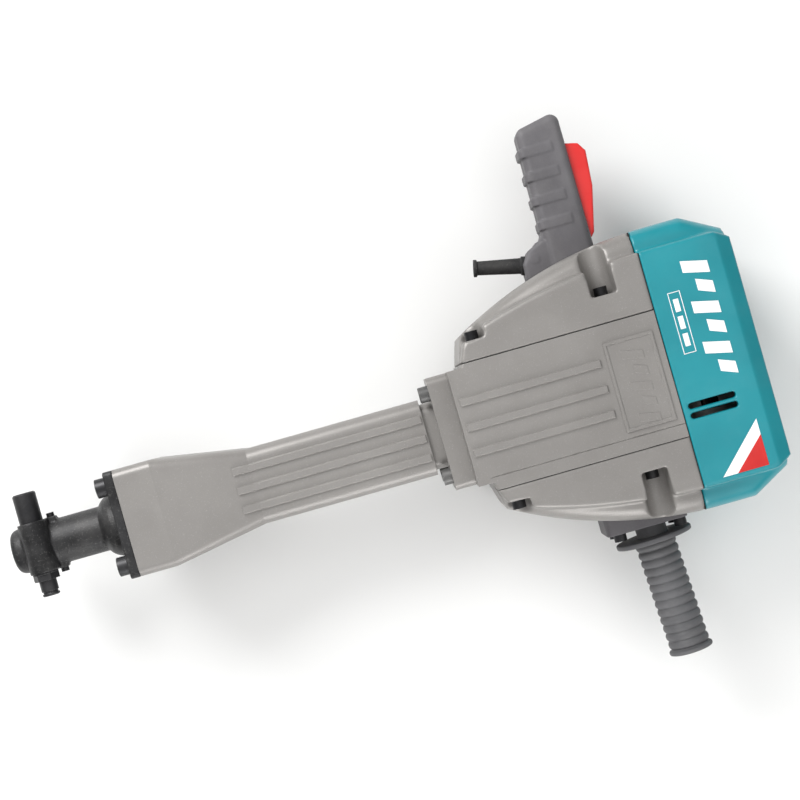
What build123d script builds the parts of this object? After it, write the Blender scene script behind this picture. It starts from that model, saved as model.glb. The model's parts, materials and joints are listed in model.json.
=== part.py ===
from build123d import *
import math
import os

# Electric demolition hammer with a hexagonal chisel socket.
# X runs along the tool axis from the socket mouth to the rear, Y points to the trigger handle,
# Z is square to the flat ribbed side. The origin is the socket mouth on the tool axis.

running_gap = 0.3
shaft_gap = 0.05

# Chisel socket and nose
hex_across_flats = 30.0
hex_clearance = 0.25
mouth_length = 13.0
sleeve_wall = 2.3
nose_wall = 3.1
nose_cap_end = 14.4
nose_cap_rise = 0.2
nose_cap_edge = ((0.0, 4.4), (1.2, 2.5), (4.2, 0.7))
nose_cap_edge_end = 9.0
nose_tube_end = 93.0
hub_end = 114.0
hub_overhang = 10.0
hub_flare = ((2.0, 3.0), (6.0, 6.5), (12.0, 9.3))
hub_flare_length = 18.0
nose_flange_thickness = 9.6
nose_flange_half = 54.2
nose_flange_corner = 4.5
nose_bolt_room = 0.5
nose_bolt_offset = nose_flange_half - 14.2
nose_bolt_size = 12.0
nose_end = hub_end + nose_flange_thickness

# Lock pin across the nose
pin_radius = 11.7
pin_x = 27.5
pin_flat = 4.4
pin_flat_clearance = 0.35
pin_top = 56.3
pin_boss_wall = 3.0
pin_boss_top = 26.1
pin_boss_bottom = -25.6
pin_shoulder = -11.2
pin_shoulder_wall = 3.0
pin_tail_radius = 8.75
pin_tail_end = -49.5
pin_collar_width = 1.5
pin_pull = 4.5
pin_spring_wire = 0.8
pin_spring_turns = 3
pin_groove_depth = 1.5
pin_edge = 1.0
pin_top_edge = 1.5
pin_mark = (2.5, 5.0)
pin_mark_depth = 1.2
nut_flange = 1.5
nut_height = 6.4
nut_corner_radius = 13.2
ear_x = 44.5
ear_half = 5.5
ear_reach = 3.5
ear_screw_radius = 4.0
ear_screw_head = 4.0

# Impact bolt, its bushing and its rubber rings
bolt_tip_clearance = 0.3
bolt_tip_start = 100.0
bolt_collar_start = 150.0
bolt_collar_length = 22.0
bolt_collar_radius = 22.0
bolt_tail_radius = 14.0
bolt_tail_length = 58.0
bolt_travel = 10.0
bolt_edge = 2.0
bushing_radius = 26.0
bushing_length = 26.0
damper_length = 9.6
damper_gap = 2.0

# Cylinder, ram and piston
cylinder_bore_radius = 25.0
cylinder_wall = 4.0
cylinder_guide_length = 12.0
cylinder_overrun = 10.0
ram_start_gap = 6.0
ram_length = 90.0
ram_travel = 50.0
ram_nose_length = 6.0
ram_wall = 9.0
ram_solid_length = 49.5
ram_ring_places = (30.0, 40.0)
ring_width = 3.0
ring_depth = 0.9
piston_front = 34.0
piston_rear = 16.0
piston_ring_places = (5.0, 11.0)
piston_slot_half_height = 15.0
piston_slot_room = 2.0
piston_pin_inset = 3.0
air_hole_radius = 2.0
piston_pin_radius = 7.0
rod_length = 110.0
rod_small_end_wall = 5.5
rod_small_end_half = 8.0
rod_big_end_wall = 9.0
rod_big_end_half = 9.0
rod_shank_half_height = 8.0
rod_shank_half_width = 6.0
rod_channel_depth = 2.0
rod_channel_rim = 3.0
rod_channel_inset = 4.0
crank_pin_radius = 10.0

# Barrel housing between nose and crankcase
barrel_length = 321.0
barrel_block_end = nose_end + 37.4
barrel_taper_end = barrel_block_end + 93.0
barrel_wall = 9.5
barrel_corner = 12.0
barrel_block_corner = 9.0
barrel_flange_corner = 8.0
barrel_neck_recess = 5.0
barrel_flange_start = nose_end + barrel_length
barrel_flange_end = barrel_flange_start + 21.0
barrel_neck_start = barrel_flange_start - 12.6
barrel_flange_half = 57.0
barrel_bolt_offset = barrel_flange_half - 15.0
barrel_bolt_size = 10.0
barrel_bolt_head = 9.1
barrel_bolt_room = 1.0
barrel_bolt_head_room = 3.0
rib_height = 2.5
rib_edge = 0.7
barrel_rib_width = 7.5
barrel_rib_pitch = 19.5
barrel_rib_start = barrel_taper_end - 17.0
barrel_rib_end = barrel_neck_start - 2.0

# Body outline, seen along Z
body_length = 206.4
cover_length = 91.0
body_half_width = 141.0
body_half_depth = 96.0
body_rear = barrel_flange_end + body_length
seam = 0.8
seam_recess = 1.0
cover_end = body_rear + cover_length
cover_taper_start = cover_end - 38.4
cover_end_half = body_half_width - 21.2
nose_corner_x = barrel_flange_end + 13.4
nose_corner_y = 57.0
shoulder_x = nose_corner_x + 8.0
outer_arc_radius = 409.0
arc_centre_x = body_rear + 18.0
step_shoulder_x = nose_corner_x + 11.0
step_shoulder_y = body_half_width - 56.4
step_half_width = body_half_width - 23.0
step_arc_radius = 616.0
cover_step_taper_start = cover_end - 16.0
cover_step_end_half = step_half_width - 8.0
band_half_depth = body_half_depth - 20.0
band_round = 18.0
step_round = 3.5
shoulder_round = 8.0
shell_wall = 4.0
cover_bevel_length = 15.0
cover_bevel_depth = 9.0

# Crankcase
upper_parting = 60.0
lower_parting = -65.0
panel_line_y = -52.0
panel_line_width = 1.0
panel_line_depth = 0.8
case_rib_start = barrel_flange_end + 3.9
case_rib_end = case_rib_start + 140.1
case_rib_width = 7.3
case_rib_pitch = 25.0
chamber_front_wall = 18.4
chamber_clearance = 2.0
case_cover_thickness = 8.0
case_cover_lip = 6.0
vent_pocket_wall = 6.0
vent_pocket_start = barrel_flange_end + 49.4
vent_pocket_end = vent_pocket_start + 97.0
vent_pocket_floor = -30.0

# Shell screws in their pockets
shell_screw_size = 8.0
rear_screw_x = body_rear - 41.0
front_screw_x = barrel_flange_end + 33.4
screw_z = band_half_depth - 4.0
rear_pocket_radius = 12.5
front_pocket_radius = 11.0
rear_pocket_floor = body_half_width - 54.0
front_pocket_floor = body_half_width - 61.0
pocket_wall = 3.5
cover_pad_half = 8.0
cover_pad_length = 18.0
bracket_inset = 2.0

# Crank train, all axes along Y
crank_throw = 28.0
crank_x = barrel_flange_end + 109.4
web_radius = crank_throw + crank_pin_radius + 6.0
web_top = -9.4
web_bottom = -20.0
bearing_wall_top = -22.0
bearing_wall_bottom = -36.0
crank_journal_radius = 15.0
crank_bearing_radius = 31.0
crank_shaft_radius = 12.5
crank_end_bearing_radius = 23.5
crank_shaft_end = -95.0
web_hole_radius = 10.0
web_hole_offset = 18.0
web_hole_z = 24.0
end_bearing_width = 12.0
motor_front_bearing = (1.0, 12.0)
motor_rear_bearing_width = 10.0
bearing_ring = 3.2
wide_teeth = 42
pinion_teeth = 12
final_module = 2.75
first_module = 2.25
pressure_angle = 25.0
backlash = 0.25
crank_gear_top = -39.0
crank_gear_bottom = -57.0
idler_gear_top = -68.0
idler_gear_bottom = -80.0
idler_shaft_radius = 7.5
idler_seat_radius = 9.0
idler_bearing_radius = 15.0
gear_margin = 1.5
gear_cover_wall = 5.0
gear_cover_end = -98.0
gear_cover_cavity = -82.0

# Motor
armature_radius = 25.0
armature_bottom = -15.0
armature_top = 45.0
winding_overhang = 15.0
armature_slots = 12
armature_shaft_radius = 9.0
slot_depth = 9.0
slot_lip = 1.2
slot_half_width = 2.4
winding_bore_gap = 2.5
motor_journal_radius = 7.5
rear_journal_radius = 5.0
front_bearing_radius = 17.5
rear_bearing_radius = 15.0
commutator_radius = 16.0
commutator_bottom = 66.0
commutator_top = 88.0
air_gap = 1.0
stator_radius = 42.0
stator_yoke = 7.0
motor_wall = 4.0
fan_radius = 35.0
fan_bottom = -50.0
fan_top = -34.0
fan_blades = 11
fan_hub_radius = 15.0
fan_disc_thickness = 2.0
fan_blade_half = 1.0
fan_blade_gap = 0.6
fan_housing_gap = 1.5
fan_housing_wall = 3.0
fan_housing_top = -20.0
end_shield_radius = 36.0
end_shield_wall = 4.0
motor_rear = 112.0
brush_width = 8.0
brush_thickness = 6.0
brush_length = 14.0
brush_holder_wall = 2.0
brush_cap = 3.0
pole_half_width = 18.0
coil_half_width = 32.0
coil_gap_half = 6.0

# Rear cover details
vent_start = body_rear + 7.0
vent_end = vent_start + 47.0
vent_width = 5.8
vent_centres = (-37.8, -47.6)
cover_screw_y = step_half_width - 13.0
cover_screw_z = body_half_depth - 16.0
cover_screw_size = 6.0
cover_pillar_radius = 7.0
grille_slots = 7
grille_pitch = 10.0
grille_slot_width = 5.0
grille_slot_half = 30.0
plate_start = body_rear - 56.2
plate_end = body_rear - 7.1
plate_top = 42.5
plate_bottom = -45.9
plate_height = 1.5
plate_frame = 3.0

# Trigger handle
grip_front = body_rear - 75.0
grip_rear = grip_front + 48.0
grip_lean = 2.0
grip_top_front = body_half_width + 130.4
grip_top_rear = grip_top_front + 9.6
grip_half_depth = 19.5
grip_round = 8.0
grip_wall = 3.5
foot_front = grip_front - 26.0
foot_top = body_half_width + 17.0
foot_half_depth = 17.0
foot_round = 4.0
foot_web_radius = 9.0
band_height = 9.0
band_pitch = 24.8
band_first = body_half_width + 31.6
band_count = 4
band_raise = 1.5
band_rear = grip_rear - 14.0
trigger_half_width = 10.0
trigger_side_gap = 0.5
trigger_bottom = body_half_width + 7.9
trigger_top = trigger_bottom + 98.6
trigger_inner = grip_rear - 13.0
trigger_pivot_x = grip_rear - 5.0
trigger_pivot_y = trigger_bottom + 6.1
trigger_pin_radius = 2.5
trigger_web = 3.0
trigger_wall = 2.5
trigger_edge = 2.0
trigger_pocket = (15.0, 5.0)
trigger_spring_radius = 4.0
trigger_spring_wire = 0.7
trigger_spring_turns = 6
switch_y = trigger_bottom + 61.1
switch_spring_y = switch_y + 24.0
switch_front = grip_front + 5.0
switch_rear = switch_front + 16.0
switch_half_height = 15.0
switch_half_width = 11.5
plunger_radius = 3.5
plunger_seat = 6.0
plunger_bore_depth = 14.5
handle_screw_radius = 2.5
handle_screw_head = 4.5
handle_screw_depth = 3.5
handle_screw_inset = 12.0
handle_screw_drop = 100.0
handle_screw_reach = 7.0
handle_boss_wall = 2.5

# Cord guard at the foot of the trigger handle
guard_root = (foot_front + 3.0, body_half_width - 1.2)
guard_tip = (foot_front - 47.9, body_half_width + 10.1)
guard_root_radius = 8.15
guard_tip_radius = 7.0
guard_rim_radius = 8.8
guard_rim_length = 3.5
guard_collar_radius = 9.6
guard_collar_length = 5.0
guard_recess_radius = 4.5
guard_recess_depth = 6.0

# Side handle
bracket_start = body_rear - 95.0
bracket_end = body_rear - 12.0
bracket_face = -body_half_width - 4.0
bracket_half_depth = 32.0
bracket_round = 7.0
side_x = body_rear - 48.0
side_lean = 2.9
side_bolt_xs = (bracket_start + 13.0, bracket_end - 8.0)
side_bolt_z = 20.0
side_bolt_size = 8.0
side_bolt_head = 7.5
side_bolt_reach = 30.0
neck_radius = 15.75
neck_length = 12.0
collar_thickness = 5.0
side_grip_radius = 20.9
side_grip_groove = 1.9
side_grip_pitch = 8.6
side_grip_rings = 13
side_rod_radius = 10.0
side_groove = (0.15, 0.75)
side_groove_slope = 1.2
side_rod_end_gap = 3.0
side_neck_root = 2.0
side_rim_edge = 1.5
collar_edge = 1.0
side_rim_radius = side_grip_radius + 1.7
collar_radius = side_grip_radius + 18.1
side_rim_length = 6.0

# Sizes that follow from the ones above
socket_half = hex_across_flats / 2 + hex_clearance
socket_corner = socket_half / math.cos(math.radians(30))
sleeve_radius = socket_corner + sleeve_wall
nose_radius = sleeve_radius + nose_wall
pin_z = socket_half + pin_flat + pin_flat_clearance
pin_bore_radius = pin_radius + running_gap
tail_bore_radius = pin_tail_radius + running_gap
bolt_tip_radius = socket_half - bolt_tip_clearance
bushing_start = hub_end
rear_damper_start = bolt_collar_start + bolt_collar_length + bolt_travel + damper_gap
cylinder_start = rear_damper_start + damper_length
cylinder_radius = cylinder_bore_radius + cylinder_wall
cylinder_end = barrel_flange_end + chamber_front_wall + cylinder_overrun
bolt_end = bolt_collar_start + bolt_collar_length + bolt_tail_length
ram_start = bolt_end + bolt_travel + ram_start_gap
ram_radius = cylinder_bore_radius - running_gap
piston_radius = cylinder_bore_radius - running_gap
crank_pin_x = crank_x - crank_throw
piston_pin_x = crank_pin_x - rod_length
rod_big_radius = crank_pin_radius + rod_big_end_wall
rod_small_radius = piston_pin_radius + rod_small_end_wall
barrel_half = cylinder_radius + barrel_wall
chamber_half = crank_throw + rod_big_radius + 3.0
chamber_start = barrel_flange_end + chamber_front_wall
chamber_end = crank_x + chamber_half
case_cover_half = chamber_half + case_cover_lip
idler_x = crank_x + final_module * (wide_teeth + pinion_teeth) / 2
motor_x = idler_x + first_module * (wide_teeth + pinion_teeth) / 2
crank_gear_radius = final_module * (wide_teeth + 2) / 2
idler_pinion_radius = final_module * (pinion_teeth + 2) / 2
idler_gear_radius = first_module * (wide_teeth + 2) / 2
motor_pinion_radius = first_module * (pinion_teeth + 2) / 2
motor_radius = stator_radius + motor_wall
fan_housing_inner = fan_radius + fan_housing_gap
fan_housing_radius = fan_housing_inner + fan_housing_wall
cover_start = body_rear + seam
cover_inner_end = cover_end - shell_wall
outer_arc_y = body_half_width - outer_arc_radius
step_arc_y = step_half_width - step_arc_radius
far = 400.0


def block(x, y, z):
    centre = Pos((x[0] + x[1]) / 2, (y[0] + y[1]) / 2, (z[0] + z[1]) / 2)
    return centre * Box(x[1] - x[0], y[1] - y[0], z[1] - z[0])


def rod_x(radius, x, y=0.0, z=0.0):
    return Pos((x[0] + x[1]) / 2, y, z) * Rot(0, 90, 0) * Cylinder(radius, x[1] - x[0])


def rod_y(radius, y, x=0.0, z=0.0):
    return Pos(x, (y[0] + y[1]) / 2, z) * Rot(90, 0, 0) * Cylinder(radius, y[1] - y[0])


def rod_z(radius, z, x=0.0, y=0.0):
    return Pos(x, y, (z[0] + z[1]) / 2) * Cylinder(radius, z[1] - z[0])


def ring_x(outer, inner, x):
    return rod_x(outer, x) - rod_x(inner, x)


def ring_y(outer, inner, y, x=0.0, z=0.0):
    return rod_y(outer, y, x, z) - rod_y(inner, y, x, z)


def turned_x(profile):
    points = [(profile[0][0], 0.0)] + profile + [(profile[-1][0], 0.0)]
    return revolve(make_face(Polyline(*points, close=True)), Axis.X)


def turned_y(profile, x=0.0):
    points = [(0.0, profile[0][0])] + [(r, y) for y, r in profile] + [(0.0, profile[-1][0])]
    return Pos(x, 0, 0) * revolve(make_face(Polyline(*points, close=True)), Axis.Y)


def square_section(half, corner, x):
    return Plane.YZ.offset(x) * RectangleRounded(2 * half, 2 * half, corner)


def square_bar(half, corner, x):
    return extrude(square_section(half, corner, x[0]), x[1] - x[0])


def both_sides(shape):
    return shape + mirror(shape, Plane.XY)


def group(shapes):
    solids = []
    for shape in shapes:
        solids += shape.solids()
    return Compound(children=solids)


def arc_height(x, centre_y, radius):
    return centre_y + math.sqrt(radius ** 2 - (x - arc_centre_x) ** 2)


def screw(size, head_height, shank_length, head_factor=1.6):
    # Socket screw along +Z: the shank starts at the origin and the head lies below it
    head = Pos(0, 0, -head_height / 2) * Cylinder(size * head_factor / 2, head_height)
    shank = Pos(0, 0, shank_length / 2) * Cylinder(size / 2, shank_length)
    socket_depth = head_height * 0.6
    socket = extrude(RegularPolygon(size * 0.45, 6), socket_depth)
    return head + shank - Pos(0, 0, -head_height) * socket


def screw_along(direction, at, size, head_height, shank_length, head_factor=1.6):
    place = Plane(origin=at, z_dir=direction).location
    return place * screw(size, head_height, shank_length, head_factor)


def body_face(arc_x, half_width, centre_y, radius, taper, end_half):
    # Half outline on the trigger side, mirrored across the tool axis
    front = (barrel_flange_end, nose_corner_y)
    corner = (nose_corner_x, nose_corner_y)
    arc_start = (arc_x, arc_height(arc_x, centre_y, radius))
    middle_x = (arc_x + arc_centre_x) / 2
    arc_middle = (middle_x, arc_height(middle_x, centre_y, radius))
    arc_end = (arc_centre_x, half_width)
    lines = [
        Line((barrel_flange_end, 0), front),
        Line(front, corner),
        Line(corner, arc_start),
        ThreePointArc(arc_start, arc_middle, arc_end),
        Line(arc_end, (taper, half_width)),
        Line((taper, half_width), (cover_end, end_half)),
        Line((cover_end, end_half), (cover_end, 0)),
        Line((cover_end, 0), (barrel_flange_end, 0)),
    ]
    half = make_face(Wire(lines))
    return half + mirror(half, Plane.XZ)


def band_face():
    return body_face(
        shoulder_x, body_half_width, outer_arc_y, outer_arc_radius,
        cover_taper_start, cover_end_half,
    )


def step_face():
    return body_face(
        step_shoulder_x, step_half_width, step_arc_y, step_arc_radius,
        cover_step_taper_start, cover_step_end_half,
    )


def body_envelope():
    band = extrude(band_face(), band_half_depth, both=True)
    outer = [e for e in band.edges() if abs(abs(e.center().Z) - band_half_depth) < 0.01]
    outer = [e for e in outer if abs(e.center().Y) > step_shoulder_y and e.length > 20]
    band = fillet(outer, band_round)
    step = extrude(step_face(), body_half_depth, both=True)
    shoulders = [e for e in step.edges().filter_by(Axis.Z) if abs(e.center().X - step_shoulder_x) < 0.1]
    step = fillet(shoulders, shoulder_round)
    rims = [e for e in step.edges() if abs(abs(e.center().Z) - body_half_depth) < 0.01]
    rims = [e for e in rims if abs(e.center().Y) > nose_corner_y]
    step = fillet(rims, step_round)
    whole = band + step
    wedge_points = (
        (cover_end - cover_bevel_length, body_half_depth),
        (cover_end + 1.0, body_half_depth - cover_bevel_depth),
        (cover_end + 1.0, body_half_depth + 1.0),
        (cover_end - cover_bevel_length, body_half_depth + 1.0),
    )
    wedge = extrude(Plane.XZ * make_face(Polyline(*wedge_points, close=True)), far, both=True)
    return whole - both_sides(wedge)


def body_cavity():
    band = offset(band_face(), -shell_wall, kind=Kind.INTERSECTION)
    step = offset(step_face(), -shell_wall, kind=Kind.INTERSECTION)
    inner = extrude(band, band_half_depth - shell_wall - band_round / 3, both=True)
    return inner + extrude(step, body_half_depth - shell_wall - cover_bevel_depth / 3, both=True)


def spur_gear(teeth, module, width, top, x, phase):
    # Involute teeth on the axis x, from top downwards along Y
    alpha = math.radians(pressure_angle)
    pitch_radius = module * teeth / 2
    base_radius = pitch_radius * math.cos(alpha)
    tip_radius = pitch_radius + module
    root_radius = pitch_radius - 1.25 * module
    half_pitch_angle = math.pi / (2 * teeth) - backlash / (2 * pitch_radius)
    involute_at_pitch = math.tan(alpha) - alpha
    start_radius = max(base_radius, root_radius)
    flank = []
    steps = 6
    for i in range(steps + 1):
        radius = start_radius + (tip_radius - start_radius) * i / steps
        angle = math.acos(base_radius / radius)
        half = half_pitch_angle + involute_at_pitch - (math.tan(angle) - angle)
        flank.append((radius, half))
    points = []
    for tooth in range(teeth):
        centre = math.radians(phase) + 2 * math.pi * tooth / teeth
        outline = [(root_radius, -flank[0][1])] if root_radius < start_radius else []
        outline += [(r, -a) for r, a in flank]
        outline += [(r, a) for r, a in reversed(flank)]
        if root_radius < start_radius:
            outline.append((root_radius, flank[0][1]))
        for radius, angle in outline:
            points.append((radius * math.cos(centre + angle), radius * math.sin(centre + angle)))
    face = make_face(Polyline(*points, close=True))
    return Pos(x, top, 0) * Rot(90, 0, 0) * extrude(face, width)


def coil(radius, wire, length, turns):
    # Compression spring along +Z with its first turn at the origin
    path = Helix(pitch=length / turns, height=length, radius=radius)
    section = Plane(origin=path @ 0, z_dir=path % 0) * Circle(wire)
    return Pos(0, 0, wire) * sweep(section, path=path)


def nose_housing():
    r = nose_radius
    profile = [(x, r - drop) for x, drop in nose_cap_edge]
    profile += [(nose_cap_edge_end, r + nose_cap_rise), (nose_cap_end, r + nose_cap_rise)]
    profile += [(nose_cap_end, r), (nose_tube_end, r)]
    profile += [(nose_tube_end + x, r + rise) for x, rise in hub_flare]
    profile += [(nose_tube_end + hub_flare_length, r + hub_overhang), (hub_end, r + hub_overhang)]
    shape = turned_x(profile)
    shape += square_bar(nose_flange_half, nose_flange_corner, (hub_end, nose_end))
    boss_radius = pin_bore_radius + pin_boss_wall - running_gap
    shape += rod_y(boss_radius, (pin_boss_bottom, pin_boss_top), pin_x, pin_z)
    saddle_x = (pin_x - boss_radius, pin_x + boss_radius)
    shape += block(saddle_x, (pin_boss_bottom, pin_boss_top), (pin_z - boss_radius + 1.5, pin_z))
    ear_y = nose_radius + ear_reach
    ear_xs = (ear_x - ear_half, ear_x + ear_half)
    shape += block(ear_xs, (-ear_y, ear_y), (0.0, 2 * ear_half))
    shape -= rod_x(socket_corner + 0.1, (-1, mouth_length))
    shape -= rod_x(sleeve_radius, (mouth_length, hub_end))
    shape -= rod_x(bushing_radius, (hub_end - damper_gap, nose_end + 1))
    shape -= rod_y(pin_bore_radius, (pin_shoulder - running_gap, pin_boss_top + 1), pin_x, pin_z)
    shape -= rod_y(tail_bore_radius, (pin_boss_bottom - 1, 0), pin_x, pin_z)
    chamber_top = pin_shoulder - running_gap - pin_shoulder_wall
    shape -= rod_y(pin_bore_radius, (pin_boss_bottom - 1, chamber_top), pin_x, pin_z)
    for y, z in bolt_square(nose_bolt_offset):
        shape -= rod_x(nose_bolt_size / 2, (hub_end - 1, nose_end + 1), y, z)
        head_radius = nose_bolt_size * 0.8 + nose_bolt_room
        shape -= rod_x(head_radius, (hub_end - nose_bolt_size, hub_end), y, z)
    for side in (1, -1):
        shape -= ear_screw(side)
    return shape


def bolt_square(offset_size):
    return [(sy * offset_size, sz * offset_size) for sy in (1, -1) for sz in (1, -1)]


def ear_screw(side):
    y = nose_radius + ear_reach
    at = (ear_x, side * y, ear_half)
    length = ear_reach + nose_wall - 1
    return screw_along((0, -side, 0), at, ear_screw_radius * 1.25, ear_screw_head, length)


def detent_screws():
    return group([ear_screw(side) for side in (1, -1)])


def nose_flange_bolts():
    length = nose_flange_thickness + 1.9 * nose_bolt_size
    return group([
        screw_along((1, 0, 0), (hub_end, y, z), nose_bolt_size, nose_bolt_size * 0.9, length)
        for y, z in bolt_square(nose_bolt_offset)
    ])


def tool_sleeve():
    shape = rod_x(sleeve_radius, (mouth_length, hub_end - damper_gap))
    hexagon = Plane.YZ.offset(mouth_length - 1) * RegularPolygon(socket_corner, 6)
    shape -= extrude(hexagon, hub_end)
    shape -= rod_y(pin_bore_radius, (pin_shoulder - running_gap, far), pin_x, pin_z)
    shape -= rod_y(tail_bore_radius, (-far, 0), pin_x, pin_z)
    chamber_top = pin_shoulder - running_gap - pin_shoulder_wall
    shape -= rod_y(pin_bore_radius, (-far, chamber_top), pin_x, pin_z)
    return shape


def lock_pin():
    groove_radius = pin_tail_radius - pin_groove_depth
    mark_start = pin_tail_end + pin_mark[0]
    mark_end = pin_tail_end + pin_mark[1]
    mark_radius = pin_tail_radius - pin_mark_depth
    collar_low = collar_y() - running_gap
    collar_high = collar_y() + pin_collar_width + running_gap
    profile = [
        (pin_tail_end, pin_tail_radius - pin_edge), (pin_tail_end + pin_edge, pin_tail_radius),
        (mark_start, pin_tail_radius), (mark_start, mark_radius),
        (mark_end, mark_radius), (mark_end, pin_tail_radius),
        (collar_low, pin_tail_radius), (collar_low, groove_radius),
        (collar_high, groove_radius), (collar_high, pin_tail_radius),
        (pin_shoulder, pin_tail_radius), (pin_shoulder, pin_radius),
        (pin_top - pin_top_edge, pin_radius), (pin_top, pin_radius - pin_top_edge),
    ]
    shape = Pos(0, 0, pin_z) * turned_y(profile, pin_x)
    flat_low = pin_z + pin_flat
    flat = block((pin_x - far, pin_x + far), (pin_shoulder - 1, -pin_shoulder + pin_pull), (flat_low, far))
    return shape - flat


def collar_y():
    return pin_boss_bottom + running_gap


def lock_pin_collar():
    inner = pin_tail_radius - pin_groove_depth + running_gap
    span = (collar_y(), collar_y() + pin_collar_width)
    return ring_y(pin_radius - 0.5, inner, span, pin_x, pin_z)


def lock_pin_spring():
    low = collar_y() + pin_collar_width + running_gap
    high = pin_shoulder - running_gap - pin_shoulder_wall
    length = high - low - 2 * pin_spring_wire - 0.2
    radius = (pin_tail_radius + pin_bore_radius) / 2
    place = Pos(pin_x, low, pin_z) * Rot(-90, 0, 0)
    return place * coil(radius, pin_spring_wire, length, pin_spring_turns)


def lock_pin_nut():
    top = pin_boss_bottom - nut_flange
    hexagon = Pos(pin_x, top, pin_z) * Rot(90, 0, 0) * extrude(
        RegularPolygon(nut_corner_radius, 6), nut_height)
    shape = hexagon + rod_y(pin_radius + 1.2, (top, pin_boss_bottom), pin_x, pin_z)
    return shape - rod_y(tail_bore_radius, (-far, 0), pin_x, pin_z)


def impact_bolt():
    collar_end = bolt_collar_start + bolt_collar_length
    return turned_x([
        (bolt_tip_start, bolt_tip_radius - bolt_edge), (bolt_tip_start + bolt_edge, bolt_tip_radius),
        (bolt_collar_start, bolt_tip_radius), (bolt_collar_start, bolt_collar_radius - bolt_edge),
        (bolt_collar_start + bolt_edge, bolt_collar_radius), (collar_end - bolt_edge, bolt_collar_radius),
        (collar_end, bolt_collar_radius - bolt_edge), (collar_end, bolt_tail_radius),
        (bolt_end - bolt_edge, bolt_tail_radius), (bolt_end, bolt_tail_radius - bolt_edge),
    ])


def impact_bolt_bushing():
    inner = bolt_tip_radius + running_gap
    return ring_x(bushing_radius, inner, (bushing_start, bushing_start + bushing_length))


def damper_rings():
    front_start = bushing_start + bushing_length
    front_end = bolt_collar_start - running_gap
    rings = [ring_x(bushing_radius, bolt_tip_radius + 2 * running_gap, (front_start, front_end))]
    rear = (rear_damper_start, cylinder_start)
    rings.append(ring_x(bushing_radius, bolt_tail_radius + 2 * running_gap, rear))
    return group(rings)


def barrel_housing():
    shape = square_bar(nose_flange_half, barrel_block_corner, (nose_end, barrel_block_end))
    taper = [square_section(nose_flange_half, barrel_block_corner, barrel_block_end)]
    taper.append(square_section(barrel_half, barrel_corner, barrel_taper_end))
    shape += loft(taper)
    shape += square_bar(barrel_half, barrel_corner, (barrel_taper_end, barrel_neck_start))
    neck_half = barrel_half - barrel_neck_recess
    shape += square_bar(neck_half, barrel_corner, (barrel_neck_start, barrel_flange_start))
    flange_x = (barrel_flange_start, barrel_flange_end)
    shape += square_bar(barrel_flange_half, barrel_flange_corner, flange_x)
    # Ribs follow the flare at their front end, so that end stands up square
    flare_rise = (nose_flange_half - barrel_half) / (barrel_taper_end - barrel_block_end)
    front_top = barrel_half + rib_height + flare_rise * (barrel_taper_end - barrel_rib_start)
    rib_side = (
        (barrel_rib_start, barrel_half - 1),
        (barrel_rib_start, front_top),
        (barrel_taper_end, barrel_half + rib_height),
        (barrel_rib_end, barrel_half + rib_height),
        (barrel_rib_end, barrel_half - 1),
    )
    rib_face = Plane.XZ * make_face(Polyline(*rib_side, close=True))
    rib = extrude(rib_face, barrel_rib_width / 2, both=True)
    tops = [e for e in rib.edges() if e.center().Z > barrel_half and e.length > barrel_rib_width + 1]
    rib = chamfer(tops, rib_edge)
    for row in (-1, 0, 1):
        shape += both_sides(Pos(0, row * barrel_rib_pitch, 0) * rib)
    shape -= rod_x(bushing_radius, (nose_end - 1, cylinder_start))
    shape -= rod_x(cylinder_radius, (cylinder_start, barrel_flange_end + 1))
    for y, z in bolt_square(nose_bolt_offset):
        shape -= rod_x(nose_bolt_size / 2, (nose_end - 1, nose_end + 2 * nose_bolt_size), y, z)
    for y, z in bolt_square(barrel_bolt_offset):
        x = (barrel_flange_start - 1, barrel_flange_end + 1)
        shape -= rod_x(barrel_bolt_size / 2, x, y, z)
        head = (barrel_flange_start - barrel_bolt_head - barrel_bolt_head_room, barrel_flange_start)
        shape -= rod_x(barrel_bolt_size * 0.8 + barrel_bolt_room, head, y, z)
    return shape


def barrel_flange_bolts():
    length = barrel_flange_end - barrel_flange_start + chamber_front_wall - 3
    return group([
        screw_along((1, 0, 0), (barrel_flange_start, y, z), barrel_bolt_size, barrel_bolt_head, length)
        for y, z in bolt_square(barrel_bolt_offset)
    ])


def cylinder():
    shape = rod_x(cylinder_radius, (cylinder_start, cylinder_end))
    guide_end = cylinder_start + cylinder_guide_length
    shape -= rod_x(cylinder_bore_radius, (guide_end, cylinder_end + 1))
    shape -= rod_x(bolt_tail_radius + running_gap, (cylinder_start - 1, guide_end + 1))
    for angle in range(0, 360, 90):
        hole = Pos(ram_start + ram_length + ram_travel, 0, 0) * Rot(angle + 45, 0, 0)
        shape -= hole * rod_z(air_hole_radius, (0, cylinder_radius + 1))
    return shape


def ring_slots(starts):
    inner = cylinder_bore_radius - running_gap - ring_depth
    return [ring_x(cylinder_bore_radius + 1, inner, (x, x + ring_width)) for x in starts]


def ram():
    end = ram_start + ram_length
    shape = turned_x([
        (ram_start, bolt_tail_radius), (ram_start + ram_nose_length, ram_radius), (end, ram_radius),
    ])
    shape -= rod_x(ram_radius - ram_wall, (ram_start + ram_solid_length, end + 1))
    for slot in ring_slots([ram_start + x for x in ram_ring_places]):
        shape -= slot
    return shape


def piston_ring_starts():
    front = piston_pin_x - piston_front
    return [front + x for x in piston_ring_places]


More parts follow.
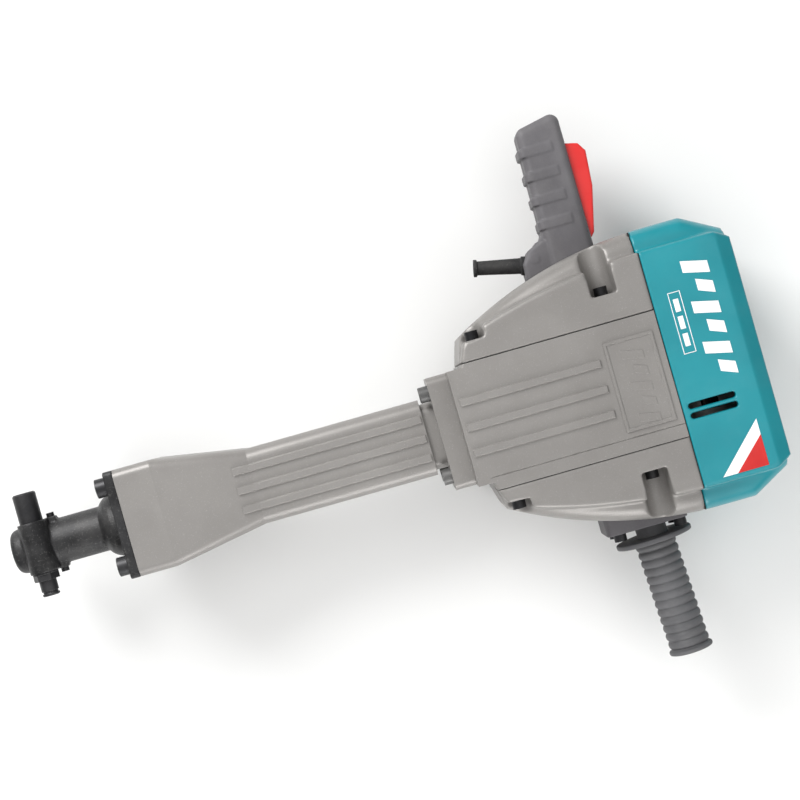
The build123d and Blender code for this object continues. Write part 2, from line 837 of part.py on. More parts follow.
def piston():
    front = piston_pin_x - piston_front
    rear = piston_pin_x + piston_rear
    shape = rod_x(piston_radius, (front, rear))
    slot_half = rod_small_end_half + 1
    slot_front = piston_pin_x - rod_small_radius - piston_slot_room
    slot_z = (-piston_slot_half_height, piston_slot_half_height)
    shape -= block((slot_front, rear + 1), (-slot_half, slot_half), slot_z)
    shape -= rod_y(piston_pin_radius, (-far, far), piston_pin_x)
    for slot in ring_slots(piston_ring_starts()):
        shape -= slot
    return shape


def piston_rings():
    inner = cylinder_bore_radius - running_gap - ring_depth
    outer = cylinder_bore_radius - running_gap / 2
    return group([ring_x(outer, inner, (x, x + ring_width)) for x in piston_ring_starts()])


def piston_pin():
    half = piston_radius - piston_pin_inset
    return rod_y(piston_pin_radius, (-half, half), piston_pin_x)


def connecting_rod():
    big_y = (-rod_big_end_half, rod_big_end_half)
    small_y = (-rod_small_end_half, rod_small_end_half)
    shape = rod_y(rod_big_radius, big_y, crank_pin_x)
    shape += rod_y(rod_small_radius, small_y, piston_pin_x)
    shank_y = (-rod_shank_half_width, rod_shank_half_width)
    shank_z = (-rod_shank_half_height, rod_shank_half_height)
    shape += block((piston_pin_x, crank_pin_x), shank_y, shank_z)
    shape -= rod_y(crank_pin_radius, big_y, crank_pin_x)
    shape -= rod_y(piston_pin_radius + shaft_gap, small_y, piston_pin_x)
    web = block(
        (piston_pin_x + rod_small_radius + rod_channel_inset, crank_pin_x - rod_big_radius - rod_channel_inset),
        (rod_shank_half_width - rod_channel_depth, rod_shank_half_width + 1),
        (-rod_shank_half_height + rod_channel_rim, rod_shank_half_height - rod_channel_rim),
    )
    return shape - web - mirror(web, Plane.XZ)


def crank_pin():
    return rod_y(crank_pin_radius, (web_top + running_gap, rod_big_end_half + 1.5), crank_pin_x)


def crankshaft():
    shape = turned_y([
        (crank_shaft_end, crank_shaft_radius), (bearing_wall_bottom, crank_shaft_radius),
        (bearing_wall_bottom, crank_journal_radius), (web_bottom, crank_journal_radius),
        (web_bottom, web_radius), (web_top, web_radius),
    ], crank_x)
    for z in (-web_hole_z, web_hole_z):
        shape -= rod_y(web_hole_radius, (web_bottom - 1, web_top + 1), crank_x - web_hole_offset, z)
    return shape


def crank_gear():
    width = crank_gear_top - crank_gear_bottom
    shape = spur_gear(wide_teeth, final_module, width, crank_gear_top, crank_x, 0.0)
    return shape - rod_y(crank_shaft_radius, (-far, far), crank_x)


def end_bearing_y():
    return (crank_shaft_end, crank_shaft_end + end_bearing_width)


def front_bearing_y():
    return (lower_parting + motor_front_bearing[0], lower_parting + motor_front_bearing[1])


def rear_bearing_y():
    seat_end = motor_rear - end_shield_wall
    return (seat_end - motor_rear_bearing_width, seat_end)


def outer_ring(radius, y, x):
    return ring_y(radius, radius - bearing_ring, y, x)


def inner_ring(outer_radius, shaft_radius, y, x):
    return ring_y(outer_radius - bearing_ring - running_gap, shaft_radius, y, x)


def bearing_outer_rings():
    wall = (bearing_wall_bottom, bearing_wall_top)
    idler_inner = (bearing_wall_bottom, bearing_wall_top - 2)
    idler_outer = (crank_shaft_end + 3.0, crank_shaft_end + 11.0)
    needle = idler_shaft_radius + running_gap
    return group([
        outer_ring(crank_bearing_radius, wall, crank_x),
        outer_ring(crank_end_bearing_radius, end_bearing_y(), crank_x),
        ring_y(idler_bearing_radius, needle, idler_inner, idler_x),
        ring_y(idler_bearing_radius, needle, idler_outer, idler_x),
        outer_ring(front_bearing_radius, front_bearing_y(), motor_x),
        outer_ring(rear_bearing_radius, rear_bearing_y(), motor_x),
    ])


def crank_bearing_inner():
    wall = (bearing_wall_bottom, bearing_wall_top)
    return group([
        inner_ring(crank_bearing_radius, crank_journal_radius, wall, crank_x),
        inner_ring(crank_end_bearing_radius, crank_shaft_radius, end_bearing_y(), crank_x),
    ])


def motor_bearing_inner():
    return group([
        inner_ring(front_bearing_radius, motor_journal_radius, front_bearing_y(), motor_x),
        inner_ring(rear_bearing_radius, rear_journal_radius, rear_bearing_y(), motor_x),
    ])


def idler_shaft():
    pinion_top = crank_gear_top + 1
    pinion_bottom = crank_gear_bottom - 1
    shape = turned_y([
        (crank_shaft_end + 3.5, idler_shaft_radius), (idler_gear_bottom, idler_shaft_radius),
        (idler_gear_bottom, idler_seat_radius), (pinion_top, idler_seat_radius),
        (pinion_top, idler_shaft_radius), (bearing_wall_top - 2.5, idler_shaft_radius),
    ], idler_x)
    width = pinion_top - pinion_bottom
    phase = 180.0 / pinion_teeth
    return shape + spur_gear(pinion_teeth, final_module, width, pinion_top, idler_x, phase)


def idler_gear():
    width = idler_gear_top - idler_gear_bottom
    shape = spur_gear(wide_teeth, first_module, width, idler_gear_top, idler_x, 0.0)
    return shape - rod_y(idler_seat_radius, (-far, far), idler_x)


def armature_shaft():
    pinion_top = idler_gear_top + 1
    pinion_bottom = idler_gear_bottom - 1
    seat = front_bearing_y()
    rear = rear_bearing_y()
    shape = turned_y([
        (pinion_bottom, motor_journal_radius), (seat[1], motor_journal_radius),
        (seat[1], armature_shaft_radius), (commutator_top, armature_shaft_radius),
        (commutator_top, rear_journal_radius), (rear[1], rear_journal_radius),
    ], motor_x)
    width = pinion_top - pinion_bottom
    phase = 180.0 / pinion_teeth
    return shape + spur_gear(pinion_teeth, first_module, width, pinion_top, motor_x, phase)


def slot_bars(y):
    bars = []
    for i in range(armature_slots):
        bar_x = (armature_radius - slot_depth, armature_radius - slot_lip)
        bar = block(bar_x, y, (-slot_half_width, slot_half_width))
        bars.append(Pos(motor_x, 0, 0) * Rot(0, 360.0 * i / armature_slots, 0) * bar)
    return bars


def armature_core():
    y = (armature_bottom, armature_top)
    shape = ring_y(armature_radius, armature_shaft_radius, y, motor_x)
    for bar in slot_bars(y):
        shape -= bar
    return shape


def armature_windings():
    low = armature_bottom - winding_overhang
    high = armature_top + winding_overhang
    outer = armature_radius - slot_lip
    inner = armature_shaft_radius + winding_bore_gap
    shape = ring_y(outer, inner, (low, armature_bottom), motor_x)
    shape += ring_y(outer, inner, (armature_top, high), motor_x)
    for bar in slot_bars((armature_bottom, armature_top)):
        shape += bar
    return shape


def commutator():
    y = (commutator_bottom, commutator_top)
    return ring_y(commutator_radius, armature_shaft_radius, y, motor_x)


def fan():
    y = (fan_bottom, fan_top)
    shape = ring_y(fan_hub_radius, armature_shaft_radius, y, motor_x)
    shape += ring_y(fan_radius, fan_hub_radius - 1, (fan_top - fan_disc_thickness, fan_top), motor_x)
    for i in range(fan_blades):
        blade_x = (fan_hub_radius - 0.5, fan_radius - fan_blade_gap)
        blade = block(blade_x, (fan_bottom, fan_top - 1), (-fan_blade_half, fan_blade_half))
        shape += Pos(motor_x, 0, 0) * Rot(0, 360.0 * i / fan_blades, 0) * blade
    return shape


def stator_core():
    y = (armature_bottom, armature_top)
    yoke_inner = stator_radius - stator_yoke
    shape = ring_y(stator_radius, yoke_inner, y, motor_x)
    poles = block((motor_x - pole_half_width, motor_x + pole_half_width), y, (-far, far))
    shape += rod_y(yoke_inner + 1, y, motor_x) & poles
    return shape - rod_y(armature_radius + air_gap, (-far, far), motor_x)


def field_coils():
    overhang = winding_overhang - 4
    y = (armature_bottom - overhang, armature_top + overhang)
    yoke_inner = stator_radius - stator_yoke
    band = ring_y(yoke_inner - 0.3, armature_radius + air_gap + 0.3, y, motor_x)
    coils = []
    for side in (1, -1):
        z = (coil_gap_half, far) if side > 0 else (-far, -coil_gap_half)
        outer = band & block((motor_x - coil_half_width, motor_x + coil_half_width), y, z)
        core_half = pole_half_width + 0.2
        core = block((motor_x - core_half, motor_x + core_half), (armature_bottom, armature_top), (-far, far))
        coils.append(outer - core)
    return group(coils)


def motor_housing():
    front_wall_top = front_bearing_y()[1] + 1.5
    shield_y = armature_top + winding_overhang + 2
    shape = turned_y([
        (lower_parting, fan_housing_radius), (fan_housing_top, fan_housing_radius),
        (fan_housing_top, motor_radius), (shield_y + end_shield_wall, motor_radius),
        (shield_y + end_shield_wall, end_shield_radius), (motor_rear, end_shield_radius),
    ], motor_x)
    fan_room = (front_wall_top, fan_housing_top + 0.5)
    shape -= rod_y(fan_housing_inner, fan_room, motor_x)
    shape -= rod_y(stator_radius, (fan_housing_top + 0.5, shield_y), motor_x)
    shape -= rod_y(end_shield_radius - end_shield_wall, (0, motor_rear - end_shield_wall), motor_x)
    shape -= rod_y(front_bearing_radius, (lower_parting - 1, front_bearing_y()[1]), motor_x)
    shape -= rod_y(motor_journal_radius + 3, (lower_parting, 0), motor_x)
    rear_seat = ring_y(rear_bearing_radius + 3, rear_bearing_radius, rear_bearing_y(), motor_x)
    spokes = block((motor_x - end_shield_radius + 1, motor_x + end_shield_radius - 1),
                   rear_bearing_y(), (-4.0, 4.0))
    spokes -= rod_y(rear_bearing_radius + 1, (-far, far), motor_x)
    shape += rear_seat
    shape += spokes
    for angle in (30, 90, 150, 210, 270, 330):
        window_x = (fan_housing_inner - 4, fan_housing_radius + 4)
        window = block(window_x, (fan_bottom + 2, fan_top), (-9.0, 9.0))
        if angle not in (150, 210):
            shape -= Pos(motor_x, 0, 0) * Rot(0, angle, 0) * window
    for side in (1, -1):
        shape -= brush_hole(side)
    return shape


def brush_hole(side):
    half_x = brush_width / 2 + 2
    half_y = brush_thickness / 2 + 2
    mid = (commutator_bottom + commutator_top) / 2
    z = (20.0, end_shield_radius + 2) if side > 0 else (-end_shield_radius - 2, -20.0)
    return block((motor_x - half_x, motor_x + half_x), (mid - half_y, mid + half_y), z)


def brush_holders():
    holders = []
    for side in (1, -1):
        low = commutator_radius + 2
        high = end_shield_radius + 2
        z = (low, high) if side > 0 else (-high, -low)
        mid = (commutator_bottom + commutator_top) / 2
        outer = block((motor_x - brush_width / 2 - 2, motor_x + brush_width / 2 + 2),
                      (mid - brush_thickness / 2 - 2, mid + brush_thickness / 2 + 2), z)
        bore_z = (low - 1, high - 3) if side > 0 else (-high + 3, -low + 1)
        bore = block((motor_x - brush_width / 2, motor_x + brush_width / 2),
                     (mid - brush_thickness / 2, mid + brush_thickness / 2), bore_z)
        holders.append(outer - bore)
    return group(holders)


def carbon_brushes():
    brushes = []
    for side in (1, -1):
        low = commutator_radius + running_gap
        high = low + 14.0
        z = (low, high) if side > 0 else (-high, -low)
        mid = (commutator_bottom + commutator_top) / 2
        brushes.append(block((motor_x - brush_width / 2, motor_x + brush_width / 2),
                             (mid - brush_thickness / 2, mid + brush_thickness / 2), z))
    return group(brushes)


def crankcase(envelope):
    span_y = (lower_parting, upper_parting)
    shape = envelope & block((barrel_flange_end, body_rear), span_y, (-far, far))
    rib_top = body_half_depth + rib_height
    for row in (-1, 0, 1):
        centre = row * case_rib_pitch
        y = (centre - case_rib_width / 2, centre + case_rib_width / 2)
        rib = block((case_rib_start, case_rib_end), y, (body_half_depth - 1, rib_top))
        top = [e for e in rib.edges() if e.center().Z > rib_top - 0.01]
        shape += both_sides(chamfer(top, rib_edge))
    line_y = (panel_line_y - panel_line_width / 2, panel_line_y + panel_line_width / 2)
    line_z = (body_half_depth - panel_line_depth, far)
    shape -= both_sides(block((nose_corner_x, body_rear + 1), line_y, line_z))
    chamber_z = (-chamber_half, chamber_half)
    cover_low = upper_parting - case_cover_thickness
    shape -= block((chamber_start, chamber_end), (bearing_wall_top, cover_low + 1), chamber_z)
    shape -= case_cover_block((cover_low, upper_parting + 1))
    stroke_end = piston_pin_x + piston_rear + 2 * crank_throw + chamber_clearance
    shape -= rod_x(cylinder_radius, (barrel_flange_end - 1, stroke_end))
    wall = (bearing_wall_bottom - 1, bearing_wall_top + 1)
    shape -= rod_y(crank_bearing_radius, wall, crank_x)
    idler_seat = (bearing_wall_bottom - 1, bearing_wall_top - 2)
    shape -= rod_y(idler_bearing_radius, idler_seat, idler_x)
    gears = (lower_parting - 1, bearing_wall_bottom)
    shape -= rod_y(crank_gear_radius + gear_margin, gears, crank_x)
    shape -= rod_y(idler_pinion_radius + gear_margin - 0.5, gears, idler_x)
    shape -= rod_y(motor_radius, (fan_housing_top, far), motor_x)
    shape -= rod_y(fan_housing_radius, (-far, fan_housing_top), motor_x)
    pocket_z = (case_cover_half + vent_pocket_wall, body_half_depth - vent_pocket_wall)
    pocket = block((vent_pocket_start, vent_pocket_end), (vent_pocket_floor, upper_parting + 1), pocket_z)
    shape -= both_sides(pocket)
    for y, z in bolt_square(barrel_bolt_offset):
        x = (barrel_flange_end - 1, chamber_start - 2)
        shape -= rod_x(barrel_bolt_size / 2, x, y, z)
    for bolt in shell_screw_solids():
        shape -= bolt
    return shape


def case_cover_block(y):
    x = (chamber_start - case_cover_lip, chamber_end + case_cover_lip)
    plate = block(x, y, (-case_cover_half, case_cover_half))
    return plate - rod_y(motor_radius + 2.0, (-far, far), motor_x)


def crankcase_cover():
    return case_cover_block((upper_parting - case_cover_thickness, upper_parting))


def screw_places():
    places = []
    for x, floor in ((rear_screw_x, rear_pocket_floor), (front_screw_x, front_pocket_floor)):
        for side in (1, -1):
            for z in (screw_z, -screw_z):
                places.append((x, side * floor, z, side, floor))
    return places


def shell_screw_solids():
    solids = []
    for x, y, z, side, floor in screw_places():
        parting = upper_parting if side > 0 else -lower_parting
        length = floor - parting + 2 * shell_screw_size
        solids.append(screw_along((0, -side, 0), (x, y, z), shell_screw_size, 9.0, length, 1.66))
    return solids


def shell_screws():
    return group(shell_screw_solids())


def gear_cover():
    plate_x = (crank_x - crank_gear_radius - 6.5, motor_x + 25.0)
    plate_half = crank_gear_radius + 5.5
    plate_y = (lower_parting - gear_cover_wall, lower_parting)
    shape = block(plate_x, plate_y, (-plate_half, plate_half))
    shape = fillet(shape.edges().filter_by(Axis.Y), 20.0)
    dome_y = (gear_cover_end, lower_parting - gear_cover_wall)
    dome = rod_y(idler_gear_radius + 6.5, dome_y, idler_x)
    dome += rod_y(crank_end_bearing_radius + 5.5, dome_y, crank_x)
    dome += rod_y(motor_pinion_radius + 8.0, dome_y, motor_x)
    dome += block((crank_x, motor_x), dome_y, (-22.0, 22.0))
    shape += dome
    cavity_y = (gear_cover_cavity, lower_parting + 1)
    shape -= rod_y(idler_gear_radius + 2.0, cavity_y, idler_x)
    shape -= rod_y(motor_pinion_radius + 2.0, cavity_y, motor_x)
    shape -= rod_y(crank_shaft_radius + 3.0, cavity_y, crank_x)
    shape -= block((crank_x, motor_x), cavity_y, (-crank_shaft_radius, crank_shaft_radius))
    shape -= rod_y(crank_end_bearing_radius, (crank_shaft_end, gear_cover_cavity + 1), crank_x)
    idler_seat = (crank_shaft_end + 2.5, gear_cover_cavity + 1)
    shape -= rod_y(idler_bearing_radius, idler_seat, idler_x)
    for x, y, z, side, floor in screw_places():
        notch_x = (x - rear_pocket_radius - pocket_wall, x + rear_pocket_radius + pocket_wall)
        notch_low = screw_z - rear_pocket_radius - pocket_wall
        notch_z = (notch_low, far) if z > 0 else (-far, -notch_low)
        shape -= block(notch_x, (-far, 0), notch_z)
    return shape


def pocket_cutter(x, side, z, floor, radius):
    y = (floor, far) if side > 0 else (-far, -floor)
    side_z = 1 if z > 0 else -1
    open_z = (screw_z, far) if side_z > 0 else (-far, -screw_z)
    cut = rod_y(radius, y, x, z) + block((x - radius, x + radius), y, open_z)
    return cut


def body_shell(envelope, cavity, side):
    parting = upper_parting + seam if side > 0 else lower_parting - seam
    span_y = (parting, far) if side > 0 else (-far, parting)
    limits = block((barrel_flange_end, body_rear), span_y, (-far, far))
    # Bosses and pads are left standing in the hollow, which is then cut from the envelope
    hollow = cavity
    for x, radius in ((rear_screw_x, rear_pocket_radius), (front_screw_x, front_pocket_radius)):
        boss_x = (x - radius - pocket_wall, x + radius + pocket_wall)
        boss_low = screw_z - radius - pocket_wall
        hollow -= both_sides(block(boss_x, span_y, (boss_low, far)))
    pad_y = (cover_screw_y - cover_pad_half, cover_screw_y + cover_pad_half)
    if side < 0:
        pad_y = (-pad_y[1], -pad_y[0])
    pad_x = (body_rear - cover_pad_length, body_rear + 1)
    hollow -= both_sides(block(pad_x, pad_y, (cover_screw_z - cover_pad_half, far)))
    if side < 0:
        bracket_x = (bracket_start + bracket_inset, bracket_end - bracket_inset)
        pad_top = bracket_face + side_bolt_reach + bracket_inset
        bracket_half = bracket_half_depth - bracket_inset
        hollow -= block(bracket_x, (-far, pad_top), (-bracket_half, bracket_half))
    shape = (envelope & limits) - hollow
    for x, y, z, screw_side, floor in screw_places():
        if screw_side == side:
            radius = rear_pocket_radius if x == rear_screw_x else front_pocket_radius
            shape -= pocket_cutter(x, side, z, floor, radius)
    for bolt in shell_screw_solids() + cover_screw_solids() + side_bolt_solids():
        shape -= bolt
    return shape


def shell_gaskets(envelope, cavity):
    trim = extrude(offset(band_face(), -seam_recess, kind=Kind.INTERSECTION), far, both=True)
    step = extrude(offset(step_face(), -seam_recess, kind=Kind.INTERSECTION),
                   body_half_depth - seam_recess, both=True)
    band = trim & block((0, 2 * far), (-far, far), (-band_half_depth + seam_recess + 5,
                                                  band_half_depth - seam_recess - 5))
    ring = (band + step) - cavity
    upper = ring & block((0, body_rear), (upper_parting, upper_parting + seam), (-far, far))
    lower = ring & block((0, body_rear), (lower_parting - seam, lower_parting), (-far, far))
    rear = ring & block((body_rear, cover_start), (-far, far), (-far, far))
    for bolt in shell_screw_solids() + cover_screw_solids():
        upper -= bolt
        lower -= bolt
        rear -= bolt
    return group([upper, lower, rear])


def cover_screw_solids():
    head_x = cover_end - 9.0
    length = head_x - body_rear + 14.0
    return [
        screw_along((-1, 0, 0), (head_x, y, z), cover_screw_size, 5.0, length)
        for y in (cover_screw_y, -cover_screw_y) for z in (cover_screw_z, -cover_screw_z)
    ]


def rear_cover(envelope, cavity):
    limits = block((cover_start, cover_end + 1), (-far, far), (-far, far))
    outer = envelope & limits
    shape = outer - cavity
    for y in (cover_screw_y, -cover_screw_y):
        for z in (cover_screw_z, -cover_screw_z):
            shape += rod_x(cover_pillar_radius, (cover_start, cover_end - 3), y, z) & outer
    for y in (cover_screw_y, -cover_screw_y):
        for z in (cover_screw_z, -cover_screw_z):
            shape -= rod_x(cover_screw_size * 0.8 + 0.5, (cover_end - 9.0, cover_end + 1), y, z)
    for centre in vent_centres:
        y = (centre - vent_width / 2, centre + vent_width / 2)
        slot = block((vent_start, vent_end), y, (body_half_depth - 3 * shell_wall, far))
        shape -= both_sides(slot)
    for i in range(grille_slots):
        centre = (i - (grille_slots - 1) / 2) * grille_pitch
        y = (centre - grille_slot_width / 2, centre + grille_slot_width / 2)
        shape -= block((cover_inner_end - 1, cover_end + 1), y, (-grille_slot_half, grille_slot_half))
    for bolt in cover_screw_solids():
        shape -= bolt
    return shape


def rear_cover_screws():
    return group(cover_screw_solids())


def nameplate():
    z = (body_half_depth, body_half_depth + plate_height)
    shape = block((plate_start, plate_end), (plate_bottom, plate_top), z)
    field_z = (body_half_depth + plate_height / 2, far)
    field_x = (plate_start + plate_frame, plate_end - plate_frame)
    return shape - block(field_x, (plate_bottom + plate_frame, plate_top - plate_frame), field_z)


def grip_face(inset):
    top_front = (grip_front + grip_lean + inset, grip_top_front - inset)
    top_rear = (grip_rear - inset, grip_top_rear - inset)
    low = 100.0
    points = [(grip_front + inset, low), top_front, top_rear, (grip_rear - inset, low)]
    face = make_face(Polyline(*points, close=True))
    corners = [v for v in face.vertices() if v.Y > low + 50]
    return fillet(corners, 9.0)


def foot_face(inset):
    points = [
        (foot_front + inset, 100.0), (foot_front + inset, foot_top - 18 - inset),
        (foot_front + 8 + inset, foot_top - 6 - inset), (foot_front + 20, foot_top - inset),
        (grip_front + 12, foot_top - inset), (grip_front + 12, 100.0),
    ]
    return make_face(Polyline(*points, close=True))


def handle_shape():
    grip = extrude(grip_face(0.0), grip_half_depth)
    rims = [e for e in grip.edges() if e.center().Z > grip_half_depth - 0.01 and e.center().Y > 101]
    grip = fillet(rims, grip_round)
    for i in range(band_count):
        centre = band_first + i * band_pitch
        y = (centre - band_height / 2, centre + band_height / 2)
        x = (grip_front - band_raise + 0.5, band_rear)
        ring = block(x, y, (-1.0, grip_half_depth + band_raise * 0.6))
        upright = ring.edges().filter_by(Axis.Y)
        edges = [e for e in upright if e.center().Z > 0 and e.center().X < grip_rear - 20]
        grip += fillet(edges, grip_round - 1) & block((0, 2 * far), (-far, far), (0, far))
    foot = extrude(foot_face(0.0), foot_half_depth)
    rims = [e for e in foot.edges() if e.center().Z > foot_half_depth - 0.01 and e.center().Y > 101]
    rims = [e for e in rims if e.center().X < grip_front]
    return grip + fillet(rims, foot_round) + foot_web()


def foot_web():
    # Hollow curve where the grip rises from the foot
    web = block((grip_front - foot_web_radius, grip_front + 1), (foot_top - 1, foot_top + foot_web_radius),
                (0, foot_half_depth - foot_round / 2))
    return web - rod_z(foot_web_radius, (-1, far), grip_front - foot_web_radius, foot_top + foot_web_radius)


def handle_half(envelope, side):
    shape = handle_shape()
    room = extrude(grip_face(grip_wall), grip_half_depth - grip_wall)
    room += extrude(foot_face(grip_wall), foot_half_depth - grip_wall)
    shape -= room
    for x, y in handle_screw_places():
        shape += rod_z(handle_screw_radius + handle_boss_wall, (0, grip_half_depth - 2), x, y)
    seat = block((grip_front + 2, switch_rear - 6), (switch_spring_y - 7, switch_spring_y + 7), (0, 7.0))
    shape += seat
    cradle_y = (switch_y - 12, switch_y + 12)
    shape += block((grip_front + 2, switch_front + 1), cradle_y, (0, grip_half_depth - 3))
    pin_post = rod_z(trigger_pin_radius + 3, (trigger_half_width + trigger_side_gap, grip_half_depth - 1),
                     trigger_pivot_x, trigger_pivot_y)
    shape += pin_post & handle_shape()
    slot_z = (-1.0, trigger_half_width + trigger_side_gap)
    shape -= block((trigger_inner - 12, grip_rear + 10), (trigger_bottom - 2, trigger_top + 2), slot_z)
    shape -= envelope
    if side < 0:
        shape = mirror(shape, Plane.XY)
    shape -= guard_body()
    shape -= trigger_pin()
    shape -= switch_block()
    for bolt in handle_screw_solids():
        shape -= bolt
    for x, y in handle_screw_places():
        shape -= rod_z(handle_screw_head, (-2 * grip_half_depth, handle_head_z(x)), x, y)
    return shape


def handle_head_z(x):
    depth = foot_half_depth if x < grip_front else grip_half_depth
    return -depth + handle_screw_depth


def handle_screw_places():
    x = grip_front + handle_screw_inset
    top = (x, grip_top_front - handle_screw_inset)
    middle = (x, grip_top_front - handle_screw_drop)
    return (top, middle, (foot_front + 13, foot_top - 15))


def handle_screw_solids():
    solids = []
    for x, y in handle_screw_places():
        head_z = handle_head_z(x)
        reach = handle_screw_reach - head_z
        solids.append(screw_along((0, 0, 1), (x, y, head_z), 2 * handle_screw_radius, 3.0, reach, 1.8))
    return solids


def handle_screws():
    return group(handle_screw_solids())


def trigger():
    points = [
        (trigger_inner, trigger_bottom + 1), (grip_rear + 1, trigger_bottom),
        (grip_rear + 5, trigger_bottom + 4.7), (grip_rear + 16, trigger_top - 48.5),
        (grip_rear + 18.8, trigger_top - 12.9), (grip_rear + 13, trigger_top - 3.5),
        (grip_rear - 1, trigger_top), (trigger_inner, trigger_top - 1),
    ]
    shape = extrude(make_face(Polyline(*points, close=True)), trigger_half_width, both=True)
    rims = [e for e in shape.edges() if e.center().X > grip_rear + 2]
    rims = [e for e in rims if abs(abs(e.center().Z) - trigger_half_width) < 0.01]
    shape = fillet(rims, trigger_edge)
    shape -= rod_z(trigger_pin_radius + shaft_gap, (-far, far), trigger_pivot_x, trigger_pivot_y)
    pocket_z = (trigger_web, trigger_half_width - trigger_wall)
    pocket_y = (trigger_bottom + trigger_pocket[0], trigger_top - trigger_pocket[1])
    pocket = block((trigger_inner - 1, grip_rear), pocket_y, pocket_z)
    return shape - both_sides(pocket)


def trigger_pin():
    half = grip_half_depth - 2
    return rod_z(trigger_pin_radius, (-half, half), trigger_pivot_x, trigger_pivot_y)


def trigger_spring():
    length = trigger_inner - (switch_rear - 6) - 3.0
    place = Pos(switch_rear - 6 + 0.5, switch_spring_y, 0) * Rot(0, 90, 0)
    return place * coil(trigger_spring_radius, trigger_spring_wire, length, trigger_spring_turns)


def switch_block():
    y = (switch_y - switch_half_height, switch_y + switch_half_height)
    return block((switch_front, switch_rear), y, (-switch_half_width, switch_half_width))


def switch_body():
    bore = (switch_rear - plunger_bore_depth, switch_rear + 1)
    return switch_block() - rod_x(plunger_radius + running_gap, bore, switch_y)


def switch_plunger():
    return rod_x(plunger_radius, (switch_rear - plunger_seat, trigger_inner - running_gap), switch_y)


def guard_place(start=0.0):
    dx = guard_tip[0] - guard_root[0]
    dy = guard_tip[1] - guard_root[1]
    length = math.hypot(dx, dy)
    origin = (guard_root[0] + dx / length * start, guard_root[1] + dy / length * start, 0)
    return Plane(origin=origin, z_dir=(dx, dy, 0)).location


def guard_length():
    return math.dist(guard_root, guard_tip)


def guard_body():
    length = guard_length()
    up = (Align.CENTER, Align.CENTER, Align.MIN)
    shape = guard_place() * Cone(guard_root_radius, guard_tip_radius, length, align=up)
    rim = Cylinder(guard_rim_radius, guard_rim_length, align=up)
    shape += guard_place(length - guard_rim_length) * rim
    flange = Cylinder(guard_collar_radius, guard_collar_length, align=up)
    return shape + guard_place(-1.0) * flange


def cable_guard():
    up = (Align.CENTER, Align.CENTER, Align.MIN)
    recess = Cylinder(guard_recess_radius, guard_recess_depth + 1, align=up)
    return guard_body() - guard_place(guard_length() - guard_recess_depth) * recess


def side_place():
    angle = math.radians(side_lean)
    return Plane(origin=(side_x, bracket_face, 0), z_dir=(math.sin(angle), -math.cos(angle), 0)).location


def side_handle_bracket(envelope):
    shape = block((bracket_start, bracket_end), (bracket_face, 0), (-bracket_half_depth, bracket_half_depth))
    edges = [e for e in shape.edges().filter_by(Axis.Y)]
    shape = fillet(edges, bracket_round)
    shape -= envelope
    keep = block((0, 2 * far), (-far, lower_parting - 20), (-far, far))
    shape = shape & keep
    for bolt in side_bolt_solids():
        shape -= bolt
    return shape


def side_bolt_solids():
    return [
        screw_along((0, 1, 0), (x, bracket_face, z), side_bolt_size, side_bolt_head, side_bolt_reach)
        for x in side_bolt_xs for z in (side_bolt_z, -side_bolt_z)
    ]


def side_handle_bolts():
    return group(side_bolt_solids())


def turned_side(profile):
    points = [(0.0, profile[0][0])] + [(r, h) for h, r in profile] + [(0.0, profile[-1][0])]
    face = Plane.XZ * make_face(Polyline(*points, close=True))
    return side_place() * revolve(face, Axis.Z)


def side_grip_length():
    return neck_length + side_grip_rings * side_grip_pitch + side_rim_length


def side_handle_core():
    end = side_grip_length() - side_rod_end_gap
    profile = [(-side_neck_root, neck_radius), (neck_length, neck_radius)]
    profile += [(neck_length, side_rod_radius), (end, side_rod_radius)]
    slab = block((0, 2 * far), (-far, bracket_face), (-far, far))
    return turned_side(profile) & slab


def side_grip():
    start = neck_length
    grip_start = start + collar_thickness
    profile = [(start, side_rod_radius), (start, collar_radius - collar_edge)]
    profile += [(start + collar_edge, collar_radius), (grip_start - collar_edge, collar_radius)]
    profile += [(grip_start, collar_radius - collar_edge)]
    profile += [(grip_start, side_grip_radius)]
    for i in range(side_grip_rings):
        low = grip_start + (i + side_groove[0]) * side_grip_pitch
        high = grip_start + (i + side_groove[1]) * side_grip_pitch
        valley = side_grip_radius - side_grip_groove
        profile += [(low, side_grip_radius), (low + side_groove_slope, valley)]
        profile += [(high - side_groove_slope, valley)]
        profile += [(high, side_grip_radius)]
    end = grip_start + side_grip_rings * side_grip_pitch
    profile += [(end, side_grip_radius), (end, side_rim_radius)]
    rim_end = end + side_rim_length
    profile += [(rim_end - side_rim_edge, side_rim_radius), (rim_end, side_rim_radius - side_rim_edge)]
    return turned_side(profile) - side_handle_core()


